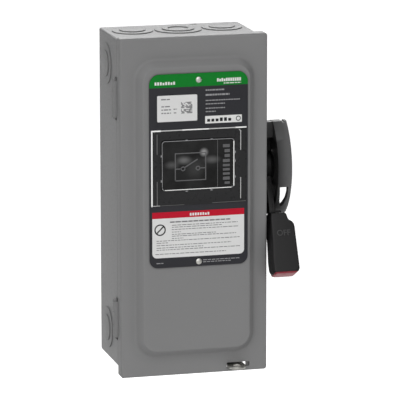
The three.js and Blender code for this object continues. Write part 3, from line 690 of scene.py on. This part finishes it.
def door_skin(thickness):
    """One skin of the pressed door, from the flange's rim to the window's edge."""
    bend = DOOR_BEND - thickness
    loops = [door_loop(thickness, DOOR["back"])]
    for a, b in arc(0, 0, bend, 0, 90, 5):
        loops.append(door_loop(DOOR_BEND - a, DOOR["front"] + DOOR_BEND - b))
    line = [Vector((PANEL_SLOPE + 8, DOOR["front"])), Vector((PANEL_SLOPE, DOOR["front"])),
            Vector((0, PANEL_FACE)), Vector((-9, PANEL_FACE))]
    skin = offset_line(line, -thickness) if thickness else line
    foot, crest = PANEL_BENDS["foot"] - thickness, PANEL_BENDS["crest"] + thickness
    for grow, y in fillet(skin, [max(foot, 1.5), crest], 6)[1:-1]:
        loops.append(panel_loop(grow, y))
    face = PANEL_FACE + thickness
    loops.append(panel_loop(-8, face))
    loops.append(window_loop(0.3, face))
    return loops


def door_mesh():
    outer = door_skin(0.0)
    inner = door_skin(SHEET)
    rim_outer = door_loop(0.0, DOOR["back"] - 0.3)
    loops = [door_loop(0.3, DOOR["back"]), rim_outer] + outer[1:]
    loops += [window_loop(0, PANEL_FACE + 0.3), window_loop(0, PANEL_FACE + SHEET - 0.3)]
    loops += list(reversed(inner))[:-1] + [door_loop(SHEET - 0.2, DOOR["back"])]
    bm = bmesh.new()
    add_loft(bm, loops + [loops[0]], cap_first=False, cap_last=False)
    return mesh_of(bm, CREASE_ANGLE)


def knuckle_ranges(centre):
    """The heights of a hinge's bottom, middle and top knuckles; the middle one is the door's."""
    low = centre - HINGE_LENGTH / 2
    return (low, low + 14.2), (low + 14.5, low + 28.5), (low + 28.8, low + HINGE_LENGTH)


def knuckle(span):
    """A rolled hinge knuckle: a short tube with rounded rims."""
    low, high = span
    radius, bore, edge = KNUCKLE["radius"], KNUCKLE["bore"], KNUCKLE["edge"]
    profile = [(bore, low), (radius - edge, low), (radius, low + edge),
               (radius, high - edge), (radius - edge, high), (bore, high), (bore, low)]
    bm = bmesh.new()
    add_loft(bm, [along("z", circle(*HINGE_AXIS, r, 40), z) for r, z in profile],
             cap_first=False, cap_last=False)
    return mesh_of(bm)


def make_door():
    door = cut(door_mesh(), prism("y", rounded(*HASP_SLOT, 0.8, 4), -97, -94))
    piece("door_shell", smoothed(door, 28), "door", paint, ["door"])
    for where, centre in HINGE_CENTRES.items():
        low, high = knuckle_ranges(centre)[1]
        piece(f"door_knuckle_{where}", knuckle((low, high)), "door", hinge_paint)
        tab = prism("x", rounded(-81.9, -77.7, low, high, 0.7, 3), -78.5, -77.0, 0.2, 2)
        piece(f"door_hinge_tab_{where}", tab, "door", hinge_paint)
        half = HINGE_LENGTH / 2
        curl = [(-78.2, -81.7), (-80.4, -81.4), (-81.6, -80.7)]
        curl += arc(*HINGE_AXIS, 3.12, 234, 300, 8)
        mesh = prism("z", list(reversed(curl)), centre - half, centre + half)
        piece(f"door_hinge_curl_{where}", mesh, "door", hinge_paint)


def make_hinges():
    for where, centre in HINGE_CENTRES.items():
        bottom, _, top = knuckle_ranges(centre)
        low, high = bottom[0], top[1]
        leaf = prism("x", rounded(-78.2, -59.5, low, high, 2.5, 5), -74.8, -73.4, 0.3, 2)
        for span in (bottom, top):
            web = prism("z", rounded(-79.4, -74.0, -78.2, -76.8, 0.4, 3), *span, 0.2, 2)
            leaf = join(leaf, web)
        for height in LEAF_RIVETS.values():
            leaf = cut(leaf, rod("x", (-66, centre + height), 2.2, -76, -72))
        piece(f"hinge_leaf_{where}_plate", smoothed(leaf), "box", paint,
              [f"hinge_leaf_{where}"])
        for tag, span in (("bottom", bottom), ("top", top)):
            piece(f"hinge_knuckle_{where}_{tag}", knuckle(span), "box", hinge_paint)
        for tag, height in LEAF_RIVETS.items():
            profile = [(2.1, -75), (2.1, -73.2), (3.4, -73.2), (3.0, -72.4), (1.6, -71.9),
                       (0.2, -71.8)]
            rivet = lathe("x", (-66, centre + height), profile, 28)
            piece(f"hinge_rivet_{where}_{tag}", rivet, "box", zinc)
        profile = [(0.9, low - 1.5), (1.4, low - 1.0), (1.4, high + 0.3), (2.6, high + 0.35),
                   (2.7, high + 1.2), (2.3, high + 2.2), (1.4, high + 2.7), (0.2, high + 2.8)]
        pin = lathe("z", HINGE_AXIS, profile, 32)
        piece(f"hinge_pin_{where}_turned", pin, "box", hinge_paint,
              [f"hinge_pin_{where}"])


make_door()
make_hinges()

# ---- label, printing and painted window highlights

LABEL = (-48.9, 59.8, -67.2, 143.4)
BEZEL = (-47.0, 58.4, 0.6, 83.2)
BEZEL_FACE = LABEL_FACE - 0.4
LENS_FACE = -106.8
INK_SEED = 7


def bar(x0, x1, z0, z1, radius=0.1):
    return rounded(x0, x1, z0, z1, radius, 2)


def stroke(points, width):
    """Thin upright or level strips along a broken line; each leg is its own bar."""
    half = width / 2
    shapes = []
    for (xa, za), (xb, zb) in zip(points, points[1:]):
        along_leg = Vector((xb - xa, zb - za)).normalized() * half
        across = Vector((-along_leg.y, along_leg.x))
        a, b = Vector((xa, za)) - along_leg, Vector((xb, zb)) + along_leg
        shapes.append([a - across, b - across, b + across, a + across])
    return shapes


def strokes(*lines):
    """The strokes of several broken lines, each given as its width and then its points."""
    shapes = []
    for width, *points in lines:
        shapes += stroke(points, width)
    return shapes


def words(rng, x0, x1, z, height, shortest=1.6, longest=5.5, gap=0.8):
    """A row of blank word-length bars, standing for small print."""
    shapes = []
    x = x0
    while x < x1 - 0.5:
        end = min(x + rng.uniform(shortest, longest), x1)
        shapes.append(bar(x, end, z - height / 2, z + height / 2, min(0.2, (end - x) / 2.5)))
        x = end + gap
    return shapes


def marks(rng, x0, x1, z, height, width, gap):
    """A row of upright blocks with varied tops, standing for larger lettering."""
    shapes = []
    x = x0
    while x + width <= x1 + 0.01:
        top = z + height * rng.choice((0.5, 0.5, 0.28))
        shapes.append(bar(x, x + width, z - height / 2, top, 0.3))
        x += width + gap
    return shapes


def printing(name, shapes, finish, level=0, base=LABEL_FACE):
    """One colour of print or of painted highlight, as thin closed shapes; neighbours differ a
    little in height.
    """
    bm = bmesh.new()
    for index, outline in enumerate(shapes):
        proud = RELIEF + 0.03 * level + INK_STEP * (index % 3)
        add_prism(bm, "y", outline, base - proud, base + 0.02)
    piece(name, mesh_of(bm), "door", finish)


def small_print_rows(rng):
    rows = [(-24.4, 48.6, -20.8), (-24.4, 31.0, -23.0), (-24.4, 50.3, -25.5),
            (-24.4, -14.6, -28.3), (-24.4, 24.6, -30.8), (-24.4, 46.9, -32.8),
            (-24.4, -11.7, -35.3), (-41.4, 50.8, -37.5), (-41.4, -28.7, -39.7),
            (-41.4, 41.3, -42.4), (-41.4, 11.3, -45.1), (-41.4, 51.2, -47.4),
            (-42.8, 35.7, -51.9)]
    shapes = []
    for x0, x1, z in rows:
        shapes += words(rng, x0, x1, z, 0.75)
    return shapes


def code_square(rng):
    """A square of scattered cells, which encodes nothing."""
    cells = 13
    x0, z0, size = -14.0, 100.3, 12.5
    step = size / cells
    shapes = []
    for row in range(cells):
        column = 0
        while column < cells:
            run = rng.choice((1, 1, 2, 3))
            run = min(run, cells - column)
            if rng.random() < 0.62:
                shapes.append(bar(x0 + column * step, x0 + (column + run) * step - 0.08,
                                  z0 + row * step, z0 + (row + 1) * step - 0.08, 0.05))
            column += run
    return shapes


def ring_shape(x, z, radius, width, steps=32):
    """A flat ring as short bars, used for the generic marks."""
    points = circle(x, z, radius, steps)
    return stroke(points + [points[0]], width)


def make_label():
    window = grown(WINDOW, 0.2, WINDOW_RADIUS, 6)
    sheet = plate(rounded(*LABEL, [9, 9, 11, 11], 8), [window], LABEL_FACE, -105.3, 0.12)
    piece("label_sheet", sheet, "door", label_film, ["label_plate"])

    bezel = plate(rounded(*BEZEL, 2.5, 6), [window], BEZEL_FACE, LABEL_FACE + 0.02, 0.15)
    piece("window_bezel", bezel, "door", bezel_film)

    for where, (x, z) in RIVETS.items():
        profile = [(1.5, -101.6), (1.5, LABEL_FACE + 0.1), (3.25, LABEL_FACE),
                   (3.2, LABEL_FACE - 0.35), (2.8, LABEL_FACE - 0.75), (2.1, LABEL_FACE - 1.05),
                   (1.1, LABEL_FACE - 1.25), (0.1, LABEL_FACE - 1.3)]
        piece(f"label_rivet_{where}_head", lathe("y", (x, z), profile, 36), "door",
              pale_zinc, [f"label_rivet_{where}"])


def make_printing():
    rng = random.Random(INK_SEED)
    x0, x1, _, z1 = LABEL
    inset = 0.15
    header = rounded(x0 + inset, x1 - inset, 129.0, z1 - inset, [0.1, 0.1, 10.8, 10.8], 8)
    printing("print_header", [header], green_ink)
    header_marks = marks(rng, -42.9, -18.4, 133.5, 3.4, 2.0, 0.9)
    header_marks += marks(rng, 25.6, 52.4, 134.9, 3.6, 1.9, 0.55)
    header_marks += words(rng, 33.0, 52.2, 131.2, 1.0)
    printing("print_header_marks", header_marks, white_ink, 1)

    printing("print_sticker", [rounded(-40.2, 3.8, 92.0, 120.4, 1.2, 4)], sticker_paper)
    rows = words(rng, -35.9, -26.2, 116.2, 1.3)
    for z in (108.5, 105.0, 101.4):
        rows += words(rng, -35.6, -25.0, z, 1.2)
    rows += words(rng, -22.3, -18.4, 105.4, 1.1) + words(rng, -22.0, -19.2, 101.4, 1.1)
    printing("print_sticker_rows", rows, grey_ink, 1)
    printing("print_sticker_code", code_square(rng), grey_ink, 1)

    rows = []
    for end, z, height in ((34.3, 124.4, 1.5), (39.4, 119.2, 1.9), (50.9, 113.2, 1.1),
                           (34.4, 109.4, 1.1), (34.4, 104.7, 1.1), (24.2, 101.1, 1.1)):
        rows += words(rng, 13.1, end, z, height, 1.6, 3.6, 0.5)
    printing("print_title_rows", rows, title_ink)
    printing("print_plaque", [rounded(12.5, 53.1, 88.2, 96.3, 0.5, 3)], white_ink)
    plaque = marks(rng, 14.8, 43.7, 92.0, 3.9, 3.2, 1.45)
    plaque += ring_shape(49.2, 92.3, 2.3, 0.8)
    printing("print_plaque_marks", plaque, black_ink, 1)

    printing("print_band", [bar(-46.0, 55.8, -12.9, -6.1)], red_ink)
    printing("print_band_marks", marks(rng, -4.5, 17.8, -9.8, 3.0, 1.9, 0.9), white_ink, 1)
    printing("print_panel", [rounded(-46.0, 55.8, -56.2, -12.95, [5, 5, 0.2, 0.2], 6)],
             sticker_paper)
    printing("print_panel_heading", words(rng, -26.5, 41.3, -17.3, 1.5, 3, 7), grey_ink, 1)
    printing("print_panel_rows", small_print_rows(rng), pale_grey_ink, 1)
    symbol = ring_shape(-37.4, -25.4, 5.6, 1.3)
    symbol += stroke([(-41.2, -29.2), (-33.6, -21.6)], 1.4)
    printing("print_panel_symbol", symbol, black_ink, 1)
    foot = words(rng, 10.1, 50.8, -60.7, 0.8, 2, 5) + words(rng, 10.1, 41.3, -62.9, 0.8, 2, 5)
    foot += words(rng, -41.5, -33.4, -62.0, 0.9)
    printing("print_foot_rows", foot, title_ink)


def make_window():
    """The dark window, and the lines round it: painted highlights and reflections of its clear
    cover's edges, laid as thin ink on the bezel.
    """
    flange = prism("y", grown(WINDOW, 8, 6, 8), -102.0, -100.0, 0.3, 2)
    raised = prism("y", grown(WINDOW, -0.4, 3.6, 10), LENS_FACE, -101.0, 0.7, 4)
    lens = smoothed(join(flange, raised))
    piece("window_lens_moulding", lens, "door", smoked, ["window_lens"])

    # Bright, dull and faint lines round the window: painted highlights, not print.
    left, right, bottom, top = -46.3, 57.4, 1.2, 82.5
    bright = strokes((1.6, (left, bottom), (left, top)), (1.6, (left, top), (-37.0, top)),
                     (1.3, (-12.0, top), (16.0, top)), (1.4, (46.0, top), (right, top)))
    printing("window_painted_highlight_bright", bright, painted_highlight_ink, 0, BEZEL_FACE)
    dull = strokes((1.1, (-37.0, top), (-12.0, top)), (1.1, (16.0, top), (46.0, top)),
                   (0.7, (51.8, 58.2), (51.8, 78.6), (50.2, 80.2)),
                   (0.7, (51.8, 5.1), (51.8, 27.5)), (0.6, (left, bottom), (-37.5, bottom)))
    printing("window_painted_highlight_dull", dull, painted_dull_highlight_ink, 0, BEZEL_FACE)
    faint = strokes((1.0, (-40.5, 57.4), (-40.5, 78.3)), (1.0, (-40.5, 2.0), (-40.5, 26.9)),
                    (0.5, (-37.5, bottom), (-11.0, bottom)), (0.6, (20.8, 1.6), (right, 1.8)))
    printing("window_painted_highlight_faint", faint, painted_faint_highlight_ink, 0, BEZEL_FACE)


def make_lens_printing_and_highlight():
    """The lens's edge line and the faint switch symbol moulded in it, with a painted highlight
    along its right and lower edges.
    """
    rim = grown(WINDOW, -1.2, 3.0, 6)
    rim_line = strokes((0.55, *rim, rim[0]))
    for x, z in ((-8.1, 71.3), (19.5, 71.3), (-8.1, 15.8), (19.3, 15.8)):
        rim_line += stroke([(x - 0.6, z), (x + 0.6, z)], 1.1)
    for x, z in ((-36.0, 55.1), (-36.0, 27.9), (45.6, 55.9), (45.6, 46.3), (45.6, 29.0)):
        rim_line += stroke([(x, z - 0.6), (x, z + 0.6)], 1.1)
    printing("lens_rim_line", rim_line, title_ink, 0, LENS_FACE)
    # A painted highlight along the lens's right and lower edges.
    x1, z0 = WINDOW["right"] - 1.2, WINDOW["bottom"] + 1.2
    corner = strokes((1.0, (x1, z0 + 2), (x1, WINDOW["top"] - 4.5)),
                     (0.8, (WINDOW["left"] + 4.5, z0), (x1 - 3, z0)))
    printing("lens_rim_painted_highlight", corner, painted_highlight_ink, 1, LENS_FACE)
    symbol = strokes((1.1, (-20.6, 27.6), (12.9, 27.6), (12.9, 57.1), (-20.6, 57.1),
                      (-20.6, 27.6)))
    symbol += ring_shape(-12.0, 40.4, 2.0, 1.1, 20) + ring_shape(4.4, 40.4, 2.0, 1.1, 20)
    symbol += strokes((1.1, (-20.6, 40.4), (-14.2, 40.4)), (1.1, (6.6, 40.4), (12.9, 40.4)),
                      (1.3, (-10.5, 41.6), (3.4, 49.8)), (0.5, (26.1, 17.8), (26.1, 70.7)))
    rng = random.Random(INK_SEED + 1)
    z = 21.5
    while z < 64:
        height = rng.choice((2.6, 3.4, 4.0))
        symbol += [bar(32.0 + rng.choice((0, 1.8)), 39.6, z, z + height, 0.4)]
        z += height + 2.0
    printing("lens_symbol", symbol, ghost_ink, 0, LENS_FACE)


make_label()
make_printing()
make_window()
make_lens_printing_and_highlight()

# ---- hasp

HASP = (39.7, 59.3, -110.8, -60.0)
HASP_LEVELS = (-184.1, -181.6)


def make_hasp():
    x0, x1, front, back = HASP
    middle, nose = (x0 + x1) / 2, (x1 - x0) / 2
    outline = arc(middle, front + nose, nose, 180, 360, 28) + arc(x1 - 1, back - 1, 1, 0, 90, 4)
    outline += arc(x0 + 1, back - 1, 1, 90, 180, 4)
    hole = circle(middle, front + nose, 4.6, 36)
    mesh = plate(outline, [hole], *HASP_LEVELS, 0.35, "z")
    piece("padlock_hasp_plate", mesh, "box", zinc, ["padlock_hasp"])


make_hasp()

# ---- guard and handle

GUARD = {"wall": 82.3, "inner": 97.6, "outer": 114.0, "back": -60.0, "bottom": -22.0,
         "top": 79.9, "hub": 20.0, "block_front": -70.0}
GUARD_ARC = {"y": -27.0, "z": 29.5, "radius": 67.0, "edge_out": 12.0, "edge_in": 3.5,
             "wall": 2.5, "rim": 8.0}
GUARD_WINDOW_TOP = 11.0
GUARD_SCREWS = {"upper": 74, "lower": -15}
GUARD_SCREW_Y = -45
HUB_RADIUS = 15.0
GUARD_SCREEN = 107.5                    # the back wall reaches this far behind the window
PADLOCK_WINDOW = [(100.1, 11), (109.7, 11), (110.1, 4), (109.4, -3), (107.4, -9),
                  (105.0, -12.8), (103.6, -12.4), (101.5, -5)]
HANDLE_REST = -26.5
TONGUE = (92.5, 103, -98, -52)          # the lever's tongue inside the grip, X and Z
TONGUE_ROOM = (92.2, 103.3, -2.3, 2.3, -98.3, -50)
GRIP_FLARE = 2.2                        # how far the grip's back edge spreads toward its end
GRIP = {"left": 85.2, "right": 114.3, "neck_right": 105.0, "neck": 56.0, "depth": 10.2,
        "end": 123.7, "split": 5.5, "cap": 1.6}


def guard_cheek():
    """The guard's outer wall: part of a hollow drum, open where the padlock goes."""
    inner, outer, back = GUARD["inner"], GUARD["outer"], GUARD["back"]
    bottom, top, skin = GUARD["bottom"], GUARD["top"], GUARD_ARC["wall"]
    centre, radius = (GUARD_ARC["y"], GUARD_ARC["z"]), GUARD_ARC["radius"]
    profile = [(radius, inner)]
    for inward, outward in arc(0, 0, 1, 0, 90, 14):
        profile.append((radius - GUARD_ARC["edge_in"] * (1 - inward),
                        outer - GUARD_ARC["edge_out"] * (1 - outward)))
    drum = lathe("x", centre, profile, 192)
    slab = block(inner - 1, outer + 1, -100, back, bottom, top)
    hub_cover = rod("x", PIVOT, GUARD["hub"], inner - 1, outer + 1, 64)
    cheek = intersect(drum, join(slab, hub_cover))

    hollow = rod("x", centre, radius - skin - 2, inner + 2, outer - skin, 160)
    upper = block(inner, outer, -100, back + 1, GUARD_WINDOW_TOP + 3, top - 3)
    hub_room = rod("x", PIVOT, GUARD["hub"] - skin, inner - 1, outer - skin, 64)
    core = rod("x", centre, radius - GUARD_ARC["rim"], inner - 2, outer + 2, 160)
    lower = block(inner - 2, outer + 2, -100, back + 1, bottom + 6, GUARD_WINDOW_TOP)
    opening = prism("y", PADLOCK_WINDOW[::-1], -100, -40)
    cheek = cut(cheek, intersect(hollow, upper), hub_room)
    return cut(cheek, intersect(core, lower), opening)


def make_guard():
    wall, inner, back = GUARD["wall"], GUARD["inner"], GUARD["back"]
    bottom, top, front = GUARD["bottom"], GUARD["top"], GUARD["block_front"]
    base = prism("x", rounded(-76, -36, bottom - 2, top + 1, 4, 6), wall, wall + 3.2)
    blocks = [block(wall, inner + 1, front, back, 63, top - 0.5),
              block(wall, inner + 1, front - 0.9, back, 62.4, 63.6),
              block(wall, inner + 1, front, back, bottom, -9)]
    clearance = HUB_RADIUS + 1.2
    web = join(block(wall + 1, inner + 1, back - 0.5, back + 3, bottom, top - 1),
               block(inner, GUARD_SCREEN, back - 0.5, back + 3, bottom, PIVOT[1] - clearance))
    web = cut(web, rod("x", PIVOT, clearance, wall, inner + 2, 64))
    notch = block(107.8, 110.8, -100, -50, top - 1.3, top + 1)
    guard = cut(join(guard_cheek(), base, *blocks, web), notch)
    holes = [rod("x", PIVOT, 6, wall - 1, wall + 5, 40)]
    holes += [rod("x", (GUARD_SCREW_Y, z), 2.4, wall - 1, wall + 5, 24)
              for z in GUARD_SCREWS.values()]
    guard = smoothed(cut(guard, *holes))
    piece("handle_guard_moulding", guard, "box", guard_plastic,
          ["handle_guard"], bevel=0.45)


def make_guard_screws():
    wall, y = GUARD["wall"], GUARD_SCREW_Y
    seat = wall + 3.5
    for where, z in GUARD_SCREWS.items():
        profile = [(2.0, wall), (2.0, seat), (4.0, seat), (4.0, seat + 1.2), (3.4, seat + 2.0),
                   (2.2, seat + 2.4), (0.1, seat + 2.4)]
        head = lathe("x", (y, z), profile, 36)
        slot = block(seat + 1.6, seat + 3, y - 4.5, y + 4.5, z - 0.5, z + 0.5)
        piece(f"guard_screw_{where}_slotted", smoothed(cut(head, slot)), "box", zinc,
              [f"guard_screw_{where}"])


def handle_piece(name, mesh, finish, replaces=()):
    """A handle piece drawn hanging straight down from the pivot, turned to the rest."""
    place = Matrix.Translation((0, PIVOT[0] * MM, PIVOT[1] * MM))
    mesh.transform(place @ Matrix.Rotation(math.radians(HANDLE_REST), 4, "X"))
    piece(name, mesh, "handle", finish, replaces)


def grip_outline(left, flare, foot_radius, inset):
    """The grip's outline in X and Z, hanging from the pivot; inset draws it in all round."""
    g = GRIP
    right, end, neck = g["right"] - inset, -g["end"] + inset, -g["neck"] - inset
    left += inset
    foot = left - flare
    outline = [(left + 0.6, neck), (left, neck - 8), (left - flare / 3, neck - 30),
               (foot, neck - 52)]
    outline += arc(foot + foot_radius, end + foot_radius, foot_radius, 180, 270, 6)
    outline += arc(right - 6, end + 6, 6, 270, 360, 8)
    shoulder = [(right, neck - 24), (right, neck - 17), (right - 0.3, neck - 14),
                (right - 1.3, neck - 11.6), (right - 3.0, neck - 9.9),
                (g["neck_right"] + 3.4, neck - 8.2), (g["neck_right"] + 2.3, neck - 6.0),
                (g["neck_right"] + 1.4, neck - 2), (g["neck_right"] - inset, neck)]
    return outline + shoulder


def grip_mesh():
    depth, edge = GRIP["depth"], 2.2
    front_left, back_left = GRIP["left"] + 3.0, GRIP["left"]
    loops = []
    for out, forward in arc(0, 0, edge, 90, 0, 6):
        loops.append(along("y", grip_outline(front_left, 3.0, 3.5, edge - out),
                           -depth + edge - forward))
    edge = 1.0
    for out, back in arc(0, 0, edge, 0, 90, 4):
        loops.append(along("y", grip_outline(back_left, GRIP_FLARE, 8.0, edge - out),
                           depth - edge + back))
    bm = bmesh.new()
    add_loft(bm, loops)
    return mesh_of(bm, CREASE_ANGLE)


def behind_split(gap):
    """Blocks over everything behind the grip's parting line and below its end cap's."""
    cap = -GRIP["end"] + GRIP["cap"]
    return [block(80, 120, GRIP["split"] + gap, 20, -130, -50),
            block(80, 120, -20, 20, -130, cap - gap)]


def lettering(text, size, depth, x, z, level, facing):
    """Raised ON or OFF lettering, drawn in the handle's hanging frame."""
    curve = bpy.data.curves.new("lettering", "FONT")
    curve.body = text
    curve.size = size
    curve.extrude = depth
    curve.bevel_depth = 0.06
    curve.align_x = "CENTER"
    curve.align_y = "CENTER"
    curve.offset = 0.12
    holder = bpy.data.objects.new("lettering", curve)
    mesh = bpy.data.meshes.new_from_object(holder)
    bpy.data.objects.remove(holder)
    turn = Matrix.Rotation(math.radians(90), 4, "X")
    if facing == "back":
        turn = Matrix.Rotation(math.radians(180), 4, "Y") @ turn
        turn = Matrix.Rotation(math.radians(180), 4, "X") @ turn
    bm = bmesh.new()
    bm.from_mesh(mesh)
    bmesh.ops.transform(bm, matrix=Matrix.Translation((x, level, z)) @ turn, verts=bm.verts)
    return mesh_of(bm, CREASE_ANGLE)


def make_handle():
    g = GRIP
    front = cut(grip_mesh(), *behind_split(0), block(*TONGUE_ROOM))
    sides = block(g["left"] + 1.4, g["right"] - 1.2, -20, 20, -130, -50)
    back = intersect(grip_mesh(), join(*behind_split(0.25)), sides)
    handle_piece("handle_grip_front", smoothed(front), black_plastic,
                 ["handle_front_shell"])
    handle_piece("handle_grip_back", smoothed(back), red_plastic,
                 ["handle_back_shell"])
    off = lettering("OFF", 8.8, 0.22, 100.6, -79.5, -g["depth"] - 0.02, "front")
    handle_piece("handle_off_lettering", off, letter_plastic)
    on = lettering("ON", 9.0, 0.22, 100.2, -86, g["depth"] + 0.02, "back")
    handle_piece("handle_on_lettering", on, white_ink)

    hub = lathe("x", (0, 0), [(5.3, 86.0), (HUB_RADIUS - 0.6, 86.0), (HUB_RADIUS, 86.6),
                              (HUB_RADIUS, 95.0), (HUB_RADIUS - 1.0, 96.0), (8.0, 96.0),
                              (7.6, 95.5), (0.1, 95.5)], 72)
    arm = prism("y", rounded(89, 96, -55.4, 0, 0.8, 3), -5.5, 5.5, 0.7, 3)
    groove = block(91.4, 93.6, -6.5, -4.7, -50, -17)
    tongue = prism("y", rounded(*TONGUE, 0.8, 3), -2, 2, 0.3, 2)
    bore = rod("x", (0, 0), 5.3, 80, 93, 40)
    lever = cut(join(hub, cut(arm, groove), tongue), bore)
    handle_piece("handle_lever_arm", smoothed(lever), black_plastic,
                 ["handle_arm"])


make_guard()
make_guard_screws()
make_handle()

# ---- interior

POLES = (-40.0, -5.0, 30.0)
FUSE = {"radius": 10.3, "top": -13.0, "bottom": -140.0, "y": -36.0, "ferrule": 16.0}
FINISHES = {"enclosure_paint": paint, "zinc_steel": zinc, "label_film": label_film,
            "clear_plastic": smoked, "gasket_rubber": rubber, "guard_plastic": guard_plastic,
            "black_plastic": black_plastic, "red_plastic": red_plastic, "insulator": insulator,
            "aluminium": aluminium, "copper": copper, "fuse_body": fuse_paper}


def finish_frame_nodes():
    """Gives every CAD node its finish, small rounded edges and clean shading."""
    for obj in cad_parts.values():
        for material_slot in obj.material_slots:
            material_slot.material = FINISHES[material_slot.material.name.split(".")[0]]
        weld = obj.modifiers.new("weld", "WELD")
        weld.merge_threshold = 0.01 * MM
        flatten = obj.modifiers.new("flatten", "DECIMATE")
        flatten.decimate_type = "DISSOLVE"
        flatten.angle_limit = math.radians(1)
        round_edges(obj, 0.25)


def make_fuses():
    """Cartridge fuses: a fibre tube with a blank colour band between two metal caps."""
    r, y, ferrule = FUSE["radius"], FUSE["y"], FUSE["ferrule"]
    low, high = FUSE["bottom"], FUSE["top"]
    tube_profile = [(r - 0.5, low + ferrule - 1), (r - 0.5, high - ferrule + 1)]
    band_profile = [(r - 0.8, -94.0), (r - 0.42, -93.8), (r - 0.42, -59.2), (r - 0.8, -59.0)]
    cap_profile = [(0.2, 0), (r - 1.6, 0), (r - 0.5, 0.5), (r, 1.6), (r, ferrule - 2.4),
                   (r - 0.35, ferrule - 1.9), (r - 0.05, ferrule - 1.2), (r - 0.4, ferrule),
                   (r - 1.2, ferrule)]
    for number, x in enumerate(POLES, 1):
        tube = lathe("z", (x, y), tube_profile)
        piece(f"fuse_{number}_tube", tube, "box", fuse_paper, [f"fuse_{number}"])
        piece(f"fuse_{number}_band", lathe("z", (x, y), band_profile), "box", band_ink)
        for end, base, sign in (("top", high, -1), ("foot", low, 1)):
            cap = [(radius, base + sign * reach) for radius, reach in cap_profile][::sign]
            piece(f"fuse_{number}_cap_{end}", smoothed(lathe("z", (x, y), cap)), "box", copper)


finish_frame_nodes()
make_fuses()

# ---- camera, lights, floor

CAMERA = {"yaw": 14.735, "pitch": 11.948, "roll": -0.048, "distance": 3891.0,
          "target": (21.53, -50.0, -7.07), "focal_px": 3577.8}
FRAME_PX = 400
SENSOR = 36.0


def make_camera():
    yaw, pitch, roll = (math.radians(CAMERA[key]) for key in ("yaw", "pitch", "roll"))
    back = Vector((-math.sin(yaw) * math.cos(pitch), -math.cos(yaw) * math.cos(pitch),
                   math.sin(pitch)))
    right = (-back).cross(Vector((0, 0, 1))).normalized()
    up = right.cross(-back)
    right, up = (math.cos(roll) * right + math.sin(roll) * up,
                 math.cos(roll) * up - math.sin(roll) * right)
    data = bpy.data.cameras.new("camera")
    data.sensor_width = SENSOR
    data.lens = CAMERA["focal_px"] / FRAME_PX * SENSOR
    data.clip_end = 100
    camera = bpy.data.objects.new("camera", data)
    place = Matrix((right, up, back)).transposed().to_4x4()
    place.translation = (Vector(CAMERA["target"]) + back * CAMERA["distance"]) * MM
    camera.matrix_world = place
    bpy.context.scene.collection.objects.link(camera)
    bpy.context.scene.camera = camera


def area_light(name, place, aim, size, power):
    data = bpy.data.lights.new(name, "AREA")
    data.shape = "RECTANGLE"
    data.size, data.size_y = size
    data.energy = power
    light = bpy.data.objects.new(name, data)
    light.location = place
    light.rotation_euler = (Vector(aim) - Vector(place)).to_track_quat("-Z", "Y").to_euler()
    bpy.context.scene.collection.objects.link(light)


KEY_DIRECTION = (-0.29, -0.77, 0.57)    # toward the soft light: front, left and above
KEY_TIGHTNESS = 4.0
KEY_STRENGTH = 2.28
FILL_STRENGTH = 0.05
FLOOR_LEVEL = -1200.0
BACKDROP = (1.8, 3.0, 0.75)             # metres behind where its wash starts and is full, strength


def studio_light():
    """A world that is one very broad soft light over a low even fill."""
    world = bpy.data.worlds.new("studio")
    world.use_nodes = True
    tree = world.node_tree
    place = tree.nodes.new("ShaderNodeTexCoord").outputs["Generated"]
    toward_key = Vector(KEY_DIRECTION).normalized()
    facing = vector_math(tree, "DOT_PRODUCT", place, toward_key)["Value"]
    lobe = calculated(tree, "POWER", calculated(tree, "MAXIMUM", facing, 0.0), KEY_TIGHTNESS)
    strength = calculated(tree, "MULTIPLY_ADD", lobe, KEY_STRENGTH, FILL_STRENGTH)
    background = tree.nodes["Background"]
    tree.links.new(strength, background.inputs["Strength"])
    background.inputs["Color"].default_value = (1, 1, 1, 1)
    bpy.context.scene.world = world


def floor_finish():
    """Pale floor, washed brighter well behind the object."""
    made, tree, shader, place = new_material("floor_finish", (0.8, 0.8, 0.8), 0.9)
    start, full, strength = BACKDROP
    wash = ranged(tree, separated(tree, place)["Y"], 0.0, strength, start, full)
    tree.links.new(wash, shader.inputs["Emission Strength"])
    shader.inputs["Emission Color"].default_value = (1, 1, 1, 1)
    return made


def make_stage():
    studio_light()
    area_light("back_top", (0.6, 2.4, 2.0), (0, 0, 0), (3.0, 2.0), 140)
    bpy.context.scene.view_settings.view_transform = "Standard"
    bm = bmesh.new()
    half = 14000.0
    add_prism(bm, "z", rounded(-half, half, -half, half, 100, 3), FLOOR_LEVEL - 60, FLOOR_LEVEL,
              20, 2)
    floor = bpy.data.objects.new("floor", mesh_of(bm))
    floor.data.materials.append(floor_finish())
    bpy.context.scene.collection.objects.link(floor)


make_camera()
make_stage()
